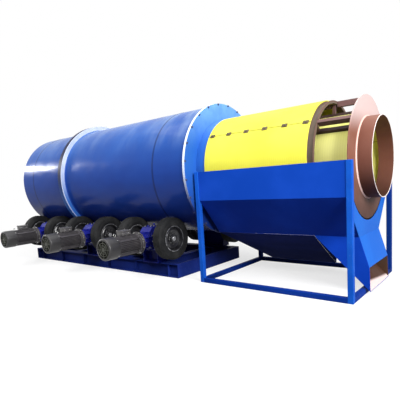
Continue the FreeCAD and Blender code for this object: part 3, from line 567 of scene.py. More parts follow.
@dataclass(frozen=True)
class WheelPaint(Finish):
    """Black wheels with bare metal on the rims' lips and the shafts' ends.

    Attributes:
        across: Distance of the axles from y = 0.
        up: Height of the axles.
        lip: Radius beyond which a lip is bare.
        shaft: Radius of the bare shaft.
        enamel: Black enamel.
        worn: The enamel where it is worn.
        steel: Bare metal.
    """

    across: float
    up: float
    lip: float
    shaft: float
    enamel: Colour = (0.010, 0.010, 0.012)
    worn: Colour = (0.050, 0.050, 0.052)
    steel: Colour = (0.55, 0.55, 0.57)

    def sockets(self, tree: Tree) -> Sockets:
        """Work out the shader's inputs."""
        _, across, up = tree.parts(tree.place())
        radius = ((abs(across) - self.across) ** 2.0 + (up - self.up) ** 2.0) ** 0.5
        grit = tree.noise(120.0, 4.0)
        scuff = tree.noise(22.0, 4.0).ramp(0.35, 0.60)
        bare = (radius.above(self.lip) * scuff).most(radius.below(self.shaft) * 0.8)
        film = tree.noise(9.0, 5.0).ramp(0.45, 0.75) * 0.5
        black = tree.mix(film, self.enamel, self.worn)
        return {
            "Base Color": tree.mix(bare, black, self.steel),
            "Metallic": bare * 0.9,
            "Roughness": grit * 0.14 + 0.22,
            "Normal": tree.bump(grit, 0.0003),
        }


@dataclass(frozen=True)
class Lined(Finish):
    """Painted plate whose inner face is only primed.

    Attributes:
        outside: Paint on the outer face.
        shade: The paint where it is thin.
        inside: Primer on the inner face.
        normal: Direction towards the inner face.
        offset: Distance along it where the inner face begins.
        both: True where the plate has a twin on the other side of y = 0.
        toe: Heights between which the primer clears from its pale toe, painted light.
        toe_light: Colour of that toe's painted light.
    """

    outside: Colour
    shade: Colour
    inside: Colour
    normal: Point
    offset: float
    both: bool = False
    toe: tuple[float, float] = (-2.0, -1.0)
    toe_light: Colour = (0.66, 0.53, 0.515)

    def sockets(self, tree: Tree) -> Sockets:
        """Work out the shader's inputs."""
        along, across, up = tree.parts(tree.place())
        side = abs(across) if self.both else across
        reach = along * self.normal[0] + side * self.normal[1] + up * self.normal[2]
        lined = reach.above(self.offset)
        cloud = tree.noise(1.6, 4.0)
        grit = tree.noise(70.0, 4.0)
        paint = tree.mix(cloud.ramp(0.35, 0.7), self.shade, self.outside)
        chalk = tuple(0.6 * tone + 0.12 for tone in self.inside)
        primer = tree.mix(cloud.ramp(0.3, 0.75) * 0.4, self.inside, chalk)
        # Painted light: the toe is pale where light falls on it.
        edge = up + across * 0.07 + cloud * 0.012
        primer = tree.mix(edge.ramp(*self.toe), self.toe_light, primer)
        return {
            "Base Color": tree.mix(lined, paint, primer),
            "Roughness": grit * 0.12 + 0.32 + lined * 0.2,
            "Specular IOR Level": 0.015,
            "Normal": tree.bump(grit, 0.0003),
        }


def dress(item: bpy.types.Object, material: bpy.types.Material) -> None:
    """Give an object one material."""
    item.data.materials.clear()
    item.data.materials.append(material)


class Bench:
    """The tools that model and finish meshes, as by hand."""

    @staticmethod
    def clear() -> None:
        """Leave object mode with nothing selected."""
        if bpy.context.object and bpy.context.object.mode != "OBJECT":
            bpy.ops.object.mode_set(mode="OBJECT")
        bpy.ops.object.select_all(action="DESELECT")

    @staticmethod
    def pick(item: bpy.types.Object) -> None:
        """Select one object and make it active."""
        Bench.clear()
        item.select_set(True)
        bpy.context.view_layer.objects.active = item

    @staticmethod
    def named(name: str) -> bpy.types.Object:
        """Name the object that was just added."""
        item = bpy.context.object
        item.name = name
        item.data.name = name
        return item

    @staticmethod
    def edit(item: bpy.types.Object) -> None:
        """Enter edit mode with everything selected."""
        Bench.pick(item)
        bpy.ops.object.mode_set(mode="EDIT")
        bpy.ops.mesh.select_all(action="SELECT")

    @staticmethod
    def choose(item: bpy.types.Object, test: Callable[[bmesh.types.BMFace], bool]) -> None:
        """Select only the faces that pass a test, in edit mode."""
        bpy.ops.mesh.select_mode(type="FACE")
        bpy.ops.mesh.select_all(action="DESELECT")
        shape = bmesh.from_edit_mesh(item.data)
        for face in shape.faces:
            face.select_set(test(face))
        shape.select_flush_mode()
        bmesh.update_edit_mesh(item.data)

    @staticmethod
    def close(item: bpy.types.Object, angle: float = 35.0) -> bpy.types.Object:
        """Leave edit mode and shade by angle."""
        Bench.pick(item)
        bpy.ops.object.shade_smooth_by_angle(angle=math.radians(angle))
        return item

    @staticmethod
    def bake_place(item: bpy.types.Object) -> None:
        """Put an object's place into its mesh."""
        Bench.pick(item)
        bpy.ops.object.transform_apply(location=True, rotation=True, scale=True)

    @staticmethod
    def modify(item: bpy.types.Object, kind: str, **settings: object) -> None:
        """Add one modifier and apply it."""
        Bench.pick(item)
        modifier = item.modifiers.new(kind.lower(), kind)
        for key, value in settings.items():
            setattr(modifier, key, value)
        bpy.ops.object.modifier_apply(modifier=modifier.name)

    @staticmethod
    def turned(name: str, profile: Sequence[tuple[float, float]], steps: int) -> bpy.types.Object:
        """Turn a closed outline about the X line.

        Args:
            name: The object's name.
            profile: Points as (along X, radius).
            steps: How many steps a full turn takes.

        Returns:
            The turned object, about the world's X line.
        """
        Bench.clear()
        bpy.ops.mesh.primitive_circle_add(vertices=len(profile), radius=1.0)
        item = Bench.named(name)
        for vertex, (along, radius) in zip(item.data.vertices, profile):
            vertex.co = (along, 0.0, radius)
        Bench.edit(item)
        bpy.ops.mesh.spin(
            steps=steps, angle=2 * math.pi, center=(0, 0, 0), axis=(1, 0, 0), use_auto_merge=False
        )
        bpy.ops.mesh.select_all(action="SELECT")
        bpy.ops.mesh.remove_doubles(threshold=1e-5)
        bpy.ops.mesh.normals_make_consistent(inside=False)
        return Bench.close(item)

    @staticmethod
    def block(name: str, low: Point, high: Point, edge: float) -> bpy.types.Object:
        """Make a block with softened edges from its two corners."""
        Bench.clear()
        middle = [(a + b) / 2 for a, b in zip(low, high)]
        bpy.ops.mesh.primitive_cube_add(size=1.0, location=middle)
        item = Bench.named(name)
        item.scale = [b - a for a, b in zip(low, high)]
        Bench.bake_place(item)
        Bench.modify(item, "BEVEL", width=edge, segments=2)
        return Bench.close(item)

    @staticmethod
    def bolt(name: str, radius: float, height: float) -> bpy.types.Object:
        """Make a hexagon head on a washer, standing on z = 0 at the origin."""
        Bench.clear()
        washer = height * 0.22
        bpy.ops.mesh.primitive_cylinder_add(
            vertices=6, radius=radius, depth=height - washer, location=(0, 0, (height + washer) / 2)
        )
        head = Bench.named(name)
        Bench.bake_place(head)
        Bench.edit(head)
        Bench.choose(head, lambda face: face.normal.z > 0.9)
        bpy.ops.mesh.inset(thickness=radius * 0.16, depth=0.0)
        bpy.ops.transform.translate(value=(0, 0, radius * 0.10))
        Bench.close(head, 20.0)
        Bench.clear()
        bpy.ops.mesh.primitive_cylinder_add(
            vertices=12, radius=radius * 1.35, depth=washer, location=(0, 0, washer / 2)
        )
        disc = Bench.named(name + "_washer")
        Bench.bake_place(disc)
        Bench.close(disc, 40.0)
        return Bench.joined(name, [head, disc])

    @staticmethod
    def copy(item: bpy.types.Object, matrix: Matrix) -> bpy.types.Object:
        """Copy an object with a mesh of its own, set where a matrix says."""
        twin = item.copy()
        twin.data = item.data.copy()
        twin.data.transform(matrix)
        if matrix.determinant() < 0:
            twin.data.flip_normals()
        bpy.context.scene.collection.objects.link(twin)
        return twin

    @staticmethod
    def spread(item: bpy.types.Object, places: Iterable[Matrix]) -> list[bpy.types.Object]:
        """Copy an object to each place and remove the first."""
        twins = [Bench.copy(item, matrix) for matrix in places]
        bpy.data.objects.remove(item)
        return twins

    @staticmethod
    def spokes(count: int, start: float = 0.0) -> list[Matrix]:
        """Give equal turns about the X line."""
        turns = [step * 2 * math.pi / count + start for step in range(count)]
        return [Matrix.Rotation(turn, 4, "X") for turn in turns]

    @staticmethod
    def joined(name: str, items: Sequence[bpy.types.Object]) -> bpy.types.Object:
        """Join several objects into one named object."""
        Bench.clear()
        for item in items:
            item.select_set(True)
        bpy.context.view_layer.objects.active = items[0]
        if len(items) > 1:
            bpy.ops.object.join()
        return Bench.named(name)


def ringed(along: float, radius: float, turn: float) -> Point:
    """Give a point on a circle about the X line, with the turn counted from +Z."""
    return along, radius * math.sin(turn), radius * math.cos(turn)


def upright(at: Point) -> Matrix:
    """Give the place of a turned piece that stands with its +X up."""
    return Matrix.Translation(at) @ Matrix.Rotation(-math.pi / 2, 4, "Y")


def aimed(direction: Point, at: Point, roll: float = 0.0) -> Matrix:
    """Give the place of a fastener whose +Z points along a direction."""
    turn = Vector(direction).to_track_quat("Z", "Y").to_matrix().to_4x4()
    return Matrix.Translation(at) @ turn @ Matrix.Rotation(roll, 4, "Z")


class Shop:
    """Materials that are made once, and the solids that they dress."""

    weld_gap = 1e-5
    flat_degrees = 0.5
    edge_degrees = 28

    def __init__(self, nodes: dict[str, bpy.types.Object]) -> None:
        """Start with the solids and no materials."""
        self.nodes = nodes
        self.made: dict[str, bpy.types.Material] = {}

    def material(self, finish: Finish) -> bpy.types.Material:
        """Give a finish's material, made on first use."""
        if finish.name not in self.made:
            self.made[finish.name] = finish.material()
        return self.made[finish.name]

    def keep(self, node: str, finish: Finish, edge: float = 0.002) -> None:
        """Soften a solid's edges with live modifiers and paint it.

        Args:
            node: The solid's name.
            finish: The finish that it gets.
            edge: Width of its softened edges, in metres, or 0 for none.
        """
        item = self.nodes[node]
        item.data.shade_smooth()
        weld = item.modifiers.new("merge", "WELD")
        weld.merge_threshold = self.weld_gap
        plain = item.modifiers.new("flat", "DECIMATE")
        plain.decimate_type = "DISSOLVE"
        plain.angle_limit = math.radians(self.flat_degrees)
        if edge:
            bevel = item.modifiers.new("edge", "BEVEL")
            bevel.width = edge
            bevel.segments = 2
            bevel.limit_method = "ANGLE"
            bevel.angle_limit = math.radians(self.edge_degrees)
        shade = item.modifiers.new("shade", "WEIGHTED_NORMAL")
        shade.keep_sharp = False
        dress(item, self.material(finish))
        LOG.info("kept %s", node)

    def place(
        self, item: bpy.types.Object, body: str, finish: Finish, replaces: Sequence[str] = ()
    ) -> None:
        """Dress a new piece, set it on its body and hide the solids that it stands for."""
        dress(item, self.material(finish))
        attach(item, body)
        if replaces:
            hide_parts(*replaces)
        LOG.info("made %s with %d faces", item.name, len(item.data.polygons))


# The rear side's darker paint is painted shade.
FRAME_BLUE = Paint(
    "frame_enamel", "frame_blue", (0.009, 0.096, 0.500), (0.006, 0.066, 0.390),
    rough=0.42, gloss=0.0, shine=0.015, dark=(0.004, 0.022, 0.160),
)
# A darker copy of the frame paint for the rails: painted shade, with painted shade on the rear side
# too.
RAIL_BLUE = Paint(
    "rail_enamel", "frame_blue", (0.005, 0.032, 0.240), (0.003, 0.022, 0.180),
    rough=0.50, gloss=0.0, shine=0.010, dark=(0.004, 0.018, 0.130),
)
GEAR_BLUE = Paint(
    "gear_enamel", "gear_blue", (0.013, 0.018, 0.250), (0.008, 0.011, 0.140),
    rough=0.24, gloss=0.35, peel=0.0012, shine=0.06,
)
STAND_BLUE = Paint(
    "stand_enamel", "frame_blue", (0.008, 0.014, 0.180), (0.004, 0.008, 0.100),
    gloss=0.05, shine=0.03,
)
BASE_BLUE = Paint(
    "base_enamel", "frame_blue", (0.010, 0.024, 0.170), (0.007, 0.013, 0.090),
    rough=0.45, gloss=0.0, shine=0.015,
)
# A darker copy of the frame paint for the hopper's underside: painted shade.
UNDER_BLUE = Paint(
    "under_enamel", "frame_blue", (0.018, 0.034, 0.210), (0.012, 0.022, 0.130),
    rough=0.6, gloss=0.0, shine=0.004,
)
BAR_PRIMER = Primer("bar_primer", "red_primer", (0.110, 0.056, 0.055), (0.25, 0.17, 0.16))
CLAMP_PRIMER = Primer("clamp_primer", "red_primer", (0.105, 0.080, 0.036), (0.22, 0.18, 0.11), 0.4)
INSIDE_PRIMER = Primer("inside_primer", "frame_blue", (0.23, 0.125, 0.082), (0.42, 0.30, 0.24), 0.4)
# A darker copy of the bar primer for the inner bars: painted shade.
DARK_PRIMER = Primer("dark_primer", "red_primer", (0.055, 0.032, 0.034), (0.14, 0.10, 0.09))
PALE_PRIMER = Primer("pale_primer", "red_primer", (0.62, 0.38, 0.33), (0.85, 0.70, 0.66), 0.4)
TYRE_RUBBER = Rubber("tyre_rubber", "tyre_rubber", (0.0055, 0.0058, 0.0065), (0.030, 0.030, 0.030))
MOTOR_GREY = Metal(
    "motor_casting", "motor_grey", (0.048, 0.044, 0.048), (0.105, 0.098, 0.10), 0.2, 0.38
)
COWL_GREY = Metal(
    "cowl_sheet", "cowl_grey", (0.024, 0.023, 0.024), (0.062, 0.060, 0.062), 0.3, 0.40, 0.0002
)
# Dark fan and grille: the fan's dark plastic, and painted shade in the cowl's recessed end.
FAN_DARK = Metal(
    "fan_plastic_and_shade", "cowl_grey", (0.022, 0.024, 0.016), (0.060, 0.062, 0.042), 0.0, 0.5, 0.0002
)
BOX_GREY = Metal(
    "box_casting", "cowl_grey", (0.070, 0.066, 0.068), (0.14, 0.135, 0.135), 0.2, 0.36, 0.0004
)
BOLT_STEEL = Metal("bolt_steel", "", (0.34, 0.34, 0.33), (0.16, 0.15, 0.14), 0.9, 0.35, 0.0001)
NUT_STEEL = Metal("nut_steel", "", (0.075, 0.075, 0.080), (0.20, 0.20, 0.20), 0.7, 0.38, 0.0001)
CLAMP_BOLT = Metal("clamp_bolt_steel", "", (0.10, 0.08, 0.05), (0.26, 0.22, 0.18), 0.4, 0.5, 0.0001)
FLANGE_BOLT = Metal(
    "flange_bolt_steel", "", (0.03, 0.05, 0.14), (0.12, 0.15, 0.26), 0.3, 0.45, 0.0001
)


@dataclass(frozen=True)
class Lamp:
    """One large soft lamp.

    Attributes:
        name: The lamp's name.
        at: Where it hangs.
        towards: The point that it faces.
        size: Its width and height.
        power: Its power in watts.
    """

    name: str
    at: Point
    towards: Point
    size: tuple[float, float]
    power: float

    def hang(self) -> None:
        """Add the lamp to the scene."""
        data = bpy.data.lights.new(self.name, "AREA")
        data.shape = "RECTANGLE"
        data.size, data.size_y = self.size
        data.energy = self.power
        lamp = bpy.data.objects.new(self.name, data)
        facing = (Vector(self.towards) - Vector(self.at)).to_track_quat("-Z", "Y")
        lamp.matrix_world = Matrix.Translation(self.at) @ facing.to_matrix().to_4x4()
        bpy.context.scene.collection.objects.link(lamp)


@dataclass
class Studio:
    """Floor, background, lights and the camera.

    Attributes:
        eye: Where the camera stands.
        yaw: Its turn from +Y towards -X, in degrees.
        pitch: Its tilt, in degrees.
        roll: Its roll, in degrees.
        lens: Focal length for a 36 mm sensor.
        shift: Vertical lens shift.
        pale: Colour of the background and the floor as they are seen.
        floor_bounce: Colour of the floor as it lights the machine.
        fill: Strength of the background as a light.
        lamps: Its lamps.
    """

    eye: Point = (6.233, -5.173, 1.483)
    yaw: float = 39.659
    pitch: float = -7.242
    roll: float = -3.621
    lens: float = 34.73
    shift: float = 0.0772
    pale: Colour = (1.0, 1.0, 1.0)
    floor_bounce: Colour = (0.10, 0.10, 0.11)
    fill: float = 0.14
    lamps: tuple[Lamp, ...] = (
        Lamp("sky", (1.5, -1.0, 9.0), (1.0, 0.0, 1.0), (12.0, 8.0), 700.0),
        Lamp("right", (13.0, -4.5, 6.0), (3.0, 0.0, 1.3), (6.0, 5.0), 2250.0),
        Lamp("front", (2.5, -10.0, 8.5), (1.0, 0.0, 1.5), (9.0, 2.5), 850.0),
        Lamp("strip", (-11.1, -4.4, 5.4), (-1.9, -1.0, 1.9), (2.3, 1.0), 430.0),
    )

    def camera(self) -> None:
        """Set the camera as in the photograph."""
        yaw, pitch, roll = (math.radians(turn) for turn in (self.yaw, self.pitch, self.roll))
        forward = Vector(
            (-math.sin(yaw) * math.cos(pitch), math.cos(yaw) * math.cos(pitch), math.sin(pitch))
        )
        right = Vector((math.cos(yaw), math.sin(yaw), 0.0))
        top = right.cross(forward)
        across = right * math.cos(roll) + top * math.sin(roll)
        upward = top * math.cos(roll) - right * math.sin(roll)
        data = bpy.data.cameras.new("camera")
        data.lens = self.lens
        data.sensor_width = 36.0
        data.shift_y = self.shift
        data.clip_end = 200.0
        camera = bpy.data.objects.new("camera", data)
        turn = Matrix((across, upward, -forward)).transposed()
        camera.matrix_world = Matrix.Translation(self.eye) @ turn.to_4x4()
        bpy.context.scene.collection.objects.link(camera)
        bpy.context.scene.camera = camera

    def seen(self, tree: Tree) -> Wire:
        """One for the camera's rays and for mirror and glass rays."""
        path = tree.add("ShaderNodeLightPath", output="Is Camera Ray").socket.node.outputs
        kinds = ("Camera", "Glossy", "Transmission")
        rays = [Wire(tree, path[f"Is {kind} Ray"]) for kind in kinds]
        return rays[0].most(rays[1]).most(rays[2])

    def world(self) -> None:
        """Plain white surroundings, dimmer as a light than to the eye."""
        world = bpy.data.worlds.new("surroundings")
        world.use_nodes = True
        bpy.context.scene.world = world
        tree = Tree(world.node_tree)
        strength = self.seen(tree) * (1.0 - self.fill) + self.fill
        light = tree.add("ShaderNodeBackground", inputs={"Color": self.pale, "Strength": strength})
        tree.add("ShaderNodeOutputWorld", inputs={"Surface": light})

    def floor(self) -> None:
        """Wide pale floor that keeps the machine's shadow."""
        Bench.clear()
        bpy.ops.mesh.primitive_circle_add(vertices=64, radius=60.0, fill_type="NGON")
        floor = Bench.named("floor")
        material, tree = new_tree("pale_floor")
        seen = self.seen(tree)
        colour = tree.mix(seen, self.floor_bounce, self.pale)
        matt = tree.add("ShaderNodeBsdfDiffuse", inputs={"Color": colour})
        glow = tree.add("ShaderNodeEmission", inputs={"Color": self.pale, "Strength": 1.0})
        along, across, _ = tree.parts(tree.place())
        reach = ((along - 1.3) ** 2.0 + across ** 2.0) ** 0.5
        share = seen * (reach.ramp(3.0, 8.5) * 0.32 + 0.68)
        both = tree.add("ShaderNodeMixShader", inputs={0: share, 1: matt, 2: glow})
        tree.add("ShaderNodeOutputMaterial", inputs={"Surface": both})
        dress(floor, material)

    def build(self) -> None:
        """Set up the whole studio."""
        self.camera()
        self.world()
        self.floor()
        for lamp in self.lamps:
            lamp.hang()
        bpy.context.scene.view_settings.view_transform = "Standard"


class Row(Enum):
    """Row of tyres: the driven one in front and the idling one at the rear."""

    FRONT = "front"
    REAR = "rear"


class Side(Enum):
    """Direction along X in which a wheel faces."""

    FEED = -1
    DISCHARGE = 1


@dataclass
class TyreUnit:
    """Two ribbed tyres on dished wheels that share an axle.

    Attributes:
        shop: Where its pieces go.
        row: Its row.
        number: Its number, counted from the feed end.
        width: Width of a tyre.
        rim: Radius of the rim's seat.
        lug_depth: Depth of the gaps between the shoulder lugs.
        nuts: Wheel nuts to a wheel.
        nut_circle: Radius of their circle.
        bare_lip: Height over the seat where a rim's lip is bare.
        bare_shaft: Radius of the bare middle of a shaft's end.
        steps: Steps in a turn of the tyre, two for each lug.
        middle: Middle of the axle.
        radius: Radius of the tyres.
        offset: Distance of each wheel from the middle.
    """

    shop: Shop
    row: Row
    number: int
    width: float = 0.180
    rim: float = 0.190
    lug_depth: float = 0.005
    nuts: int = 8
    nut_circle: float = 0.084
    bare_lip: float = 0.004
    bare_shaft: float = 0.037
    steps: int = 90
    middle: Vector = field(init=False)
    radius: float = field(init=False)
    offset: float = field(init=False)

    def __post_init__(self) -> None:
        """Read the unit's place from its solids."""
        low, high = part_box(self.named("tyres"))
        self.middle = (low + high) / 2
        self.radius = (high.z - low.z) / 2
        self.offset = (high.x - low.x - self.width) / 2

    def named(self, kind: str) -> str:
        """Name a piece or a body of this unit."""
        return f"{self.row.value}_{kind}_{self.number}"

    def place(self, item: bpy.types.Object, finish: Finish, replaces: Sequence[str] = ()) -> None:
        """Hand a piece over on the body that turns with this unit."""
        self.shop.place(item, self.named("wheels"), finish, replaces)

    def seats(self) -> list[Matrix]:
        """Places of both wheels, the feed one mirrored."""
        made = []
        for side in Side:
            shift = self.middle + Vector((side.value * self.offset, 0, 0))
            made.append(Matrix.Translation(shift) @ Matrix.Diagonal((side.value, 1, 1, 1)))
        return made

    def tread(self) -> list[tuple[float, float]]:
        """Give half the outline, bead to middle rib, as shares of half width and height."""
        wall = [(0.78, 0.0), (0.78, 0.075), (0.90, 0.16), (0.975, 0.30), (0.985, 0.40), (1.0, 0.42)]
        shoulder = [(1.0, 0.47), (0.985, 0.49), (0.965, 0.66), (0.94, 0.80), (0.88, 0.89)]
        ribs = [(0.80, 0.95), (0.74, 0.99), (0.68, 1.0)]
        for groove in (0.46, 0.16):
            for aside, high in ((0.05, 1.0), (0.03, 0.94), (-0.03, 0.94), (-0.05, 1.0)):
                ribs.append((groove + aside, high))
        return wall + shoulder + ribs

    def tyres(self) -> None:
        """Spin the tyre, cut lugs into its shoulders and set it on both wheels."""
        half = self.width / 2
        height = self.radius - self.rim
        right = [(wide * half, self.rim + high * height) for wide, high in self.tread()]
        left = [(-along, radius) for along, radius in reversed(right)]
        tyre = Bench.turned("tyre", right + left, self.steps)
        Bench.edit(tyre)
        notch = 2 * math.pi / self.steps
        low, high = self.rim + 0.80 * height, self.rim + 0.97 * height

        def is_gap(face: bmesh.types.BMFace) -> bool:
            """Every second step of both shoulders."""
            place = face.calc_center_median()
            radius = math.hypot(place.y, place.z)
            step = int((math.atan2(place.y, place.z) + math.pi) / notch)
            return low < radius < high and abs(place.x) > 0.79 * half and step % 2 == 0

        Bench.choose(tyre, is_gap)
        bpy.ops.mesh.extrude_region_shrink_fatten(
            TRANSFORM_OT_shrink_fatten={"value": -self.lug_depth}
        )
        Bench.close(tyre, 30.0)
        pair = Bench.joined(self.named("tyre_pair"), Bench.spread(tyre, self.seats()))
        self.place(pair, TYRE_RUBBER, (self.named("tyres"),))

    def wheel_outline(self) -> list[tuple[float, float]]:
        """Give a dished wheel's section, with the open side towards +X."""
        rim = self.rim
        face = [
            (0.075, 0.040), (0.075, 0.060), (0.071, 0.067), (0.034, 0.069), (0.030, 0.073),
            (0.030, 0.098), (0.034, 0.108), (0.046, 0.130), (0.0495, 0.138), (0.046, 0.146),
            (0.034, 0.166), (0.031, 0.172),
        ]
        lip = [
            (0.040, rim - 0.014), (0.066, rim - 0.013), (0.078, rim - 0.010), (0.080, rim + 0.002),
            (0.078, rim + 0.010), (0.0702, rim + 0.010), (0.0702, rim - 0.0005),
        ]
        back = [
            (-0.0702, rim - 0.0005), (-0.0702, rim + 0.010), (-0.078, rim + 0.010),
            (-0.080, rim + 0.002), (-0.078, rim - 0.010), (-0.060, rim - 0.014),
            (0.010, 0.174), (0.020, 0.164), (0.032, 0.146),
            (0.0355, 0.138), (0.032, 0.130), (0.020, 0.108), (0.016, 0.098), (0.016, 0.068),
            (-0.029, 0.064), (-0.029, 0.040),
        ]
        return face + lip + back

    def wheels(self) -> None:
        """Make both wheels and the axle between them."""
        wheel = Bench.turned("wheel", self.wheel_outline(), 72)
        end = self.offset + 0.073
        tip, radius, bevel = 0.034, 0.0398, 0.005
        shaft_outline = [
            (-end, 0.0), (-end, tip), (bevel - end, radius),
            (end - bevel, radius), (end, tip), (end, 0.0),
        ]
        shaft = Bench.turned("shaft", shaft_outline, 48)
        shaft.data.transform(Matrix.Translation(self.middle))
        parts = Bench.spread(wheel, self.seats()) + [shaft]
        pair = Bench.joined(self.named("wheel_pair"), parts)
        across, up = abs(self.middle.y), self.middle.z
        lip = self.rim + self.bare_lip
        paint = WheelPaint("wheel_enamel", "rim_black", across, up, lip, self.bare_shaft)
        self.place(pair, paint, (self.named("axle"),))

    def fasteners(self) -> None:
        """Set the wheel nuts."""
        nut = Bench.bolt("nut", 0.0125, 0.020)
        places = []
        for seat in self.seats():
            for step in range(self.nuts):
                turn = 2 * math.pi * step / self.nuts
                at = (0.030, self.nut_circle * math.sin(turn), self.nut_circle * math.cos(turn))
                places.append(seat @ aimed((1, 0, 0), at, turn))
        nuts = Bench.joined(self.named("wheel_nuts"), Bench.spread(nut, places))
        self.place(nuts, NUT_STEEL)

    def build(self) -> None:
        """Make the unit."""
        self.tyres()
        self.wheels()
        self.fasteners()


@dataclass
class Drive:
    """Gear reducer with its motor.

    Attributes:
        shop: Where its pieces go.
        number: Its number, counted from the feed end.
        flange: Radius of the motor's flange.
        core: Radius of the motor's barrel.
        tip: Radius of the fins' tips.
        shield: Length of the bearing shield, where the fins begin.
        grille: Radius of the grille in the cowl's end.
        slots: Ring slots in it.
        slot_pitch: Their pitch along the radius.
        bar: Width of the rings and bars between the slots.
        lid: Height of the reducer's top cover over its axle.
        bolt_circle: Radius of the circle of the motor's flange bolts.
        cover_circle: Radius of that of the reducer's side covers.
        snout_circle: Radius of that of the reducer's snout.
        motor: Place of the motor's flange, with its axis as +X.
        gear: Middle of the reducer's hollow shaft.
        length: Length of the motor without its cowl.
    """

    shop: Shop
    number: int
    flange: float = 0.175
    core: float = 0.134
    tip: float = 0.158
    shield: float = 0.070
    fin_pitch: float = 0.0235
    fin_thickness: float = 0.006
    fins_to_side: int = 8
    cowl_radius: float = 0.166
    cowl_length: float = 0.198
    grille: float = 0.132
    slots: int = 3
    slot_pitch: float = 0.036
    bar: float = 0.008
    lid: float = 0.188
    bolt_circle: float = 0.163
    cover_circle: float = 0.116
    snout_circle: float = 0.140
    motor: Matrix = field(init=False)
    gear: Vector = field(init=False)
    length: float = field(init=False)

    def __post_init__(self) -> None:
        """Read the places of reducer and motor from their solids."""
        low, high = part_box(f"motor_{self.number}")
        start = Vector(((low.x + high.x) / 2, high.y, (low.z + high.z) / 2))
        self.length = high.y - low.y
        self.motor = Matrix.Translation(start) @ Matrix.Rotation(-math.pi / 2, 4, "Z")
        low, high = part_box(f"gearbox_{self.number}")
        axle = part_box(f"front_axle_{self.number}")
        middle = (axle[0] + axle[1]) / 2
        self.gear = Vector(((low.x + high.x) / 2, middle.y, middle.z))

    @property
    def saddle(self) -> float:
        """Middle of the fins along the motor, where the terminal box stands."""
        return self.shield + (self.length - self.shield) / 2

    def set_down(
        self, item: bpy.types.Object, kind: str, finish: Finish, replaces: Sequence[str] = ()
    ) -> None:
        """Move a piece from the motor's own frame to its place and hand it over."""
        item.data.transform(self.motor)
        item.name = item.data.name = f"{kind}_{self.number}"
        self.shop.place(item, "root", finish, replaces)

    def barrel(self) -> bpy.types.Object:
        """Flange, bearing shield and barrel of the motor, along its own +X."""
        outline = [
            (0.0, 0.0), (0.0, self.flange - 0.003), (0.003, self.flange), (0.015, self.flange),
            (0.018, self.flange - 0.003), (0.018, 0.150), (0.026, 0.146), (0.046, 0.150),
            (0.060, 0.150), (0.068, 0.143), (0.072, self.core), (self.length - 0.012, self.core),
            (self.length - 0.010, 0.148), (self.length, 0.148), (self.length, 0.0),
        ]
        return Bench.turned("barrel", outline, 64)

    def fins(self) -> list[bpy.types.Object]:
        """Four banks of parallel fins with a bolt lug between each two."""
        blade = Bench.block("blade", (0, -0.5, 0), (1, 0.5, 1), 0.12)
        start, end = self.shield, self.length - 0.008
        places = []
        for bank in range(4):
            turn = Matrix.Rotation(bank * math.pi / 2, 4, "X")
            for step in range(self.fins_to_side):
                aside = (step - (self.fins_to_side - 1) / 2) * self.fin_pitch
                foot = math.sqrt(self.core**2 - aside**2) - 0.012
                top = math.sqrt(self.tip**2 - aside**2)
                size = Matrix.Diagonal((end - start, self.fin_thickness, top - foot, 1))
                places.append(turn @ Matrix.Translation((start, aside, foot)) @ size)
            corner = Matrix.Rotation((bank + 0.5) * math.pi / 2, 4, "X")
            for at, span in ((0.044, 0.050), (self.length - 0.034, 0.034)):
                size = Matrix.Diagonal((span, 0.034, 0.040, 1))
                places.append(corner @ Matrix.Translation((at, 0, 0.118)) @ size)
        return Bench.spread(blade, places)

    def box_seat(self) -> bpy.types.Object:
        """Block that carries the terminal box between the top fins."""
        low = (self.saddle - 0.060, -0.050, 0.094)
        high = (self.saddle + 0.060, 0.050, self.tip)
        return Bench.block("seat", low, high, 0.003)

    def motor_body(self) -> None:
        """Make the motor."""
        body = Bench.joined("motor", [self.barrel(), *self.fins(), self.box_seat()])
        Bench.close(body, 40.0)
        self.set_down(body, "finned_motor", MOTOR_GREY, (f"motor_{self.number}",))

    def cowl(self) -> bpy.types.Object:
        """Fan cowl of pressed sheet, open at its end, along the motor's +X."""
        start, end, wide = self.length, self.length + self.cowl_length, self.cowl_radius
        shell = [
            (start, wide - 0.004), (start + 0.004, wide), (end - 0.024, wide),
            (end - 0.014, wide - 0.002), (end - 0.006, wide - 0.008), (end - 0.001, wide - 0.020),
            (end, wide - 0.025),
            (end, self.grille + 0.001), (end - 0.002, self.grille), (end - 0.034, self.grille),
            (end - 0.034, wide - 0.006), (start, wide - 0.006),
        ]
        return Bench.turned("fan_cowl", shell, 64)

    def fan(self) -> bpy.types.Object:
        """Grille of rings and bars in the cowl's end, with the fan behind it, dark as painted shade
        in the recessed end.
        """
        end = self.length + self.cowl_length
        back, hub = end - 0.064, 0.034
        disc = [
            (back - 0.02, 0.0), (back - 0.02, 0.156), (back - 0.012, 0.156), (back - 0.012, hub),
            (back + 0.03, hub), (back + 0.034, hub - 0.006), (back + 0.034, 0.0),
        ]
        parts = [Bench.turned("fan_disc", disc, 48)]
        low, high = (back - 0.012, -0.002, hub), (back + 0.024, 0.002, 0.128)
        parts += Bench.spread(Bench.block("fan_blade", low, high, 0.001), Bench.spokes(8, 0.2))
        for slot in range(self.slots):
            outer = self.grille - (slot + 1) * self.slot_pitch + self.bar
            inner = outer - self.bar if slot < self.slots - 1 else 0.0
            ring = [(end - 0.010, inner), (end - 0.010, outer), (end - 0.003, outer)]
            ring.append((end - 0.001, outer - 0.002))
            if inner:
                ring += [(end - 0.001, inner + 0.002), (end - 0.003, inner)]
            else:
                ring.append((end - 0.001, 0.0))
            parts.append(Bench.turned("grille_ring", ring, 48))
        half = self.bar / 2
        low, high = (end - 0.0095, -half, 0.020), (end - 0.0015, half, self.grille + half)
        parts += Bench.spread(Bench.block("grille_bar", low, high, 0.0015), Bench.spokes(8))
        return Bench.close(Bench.joined("fan", parts), 40.0)

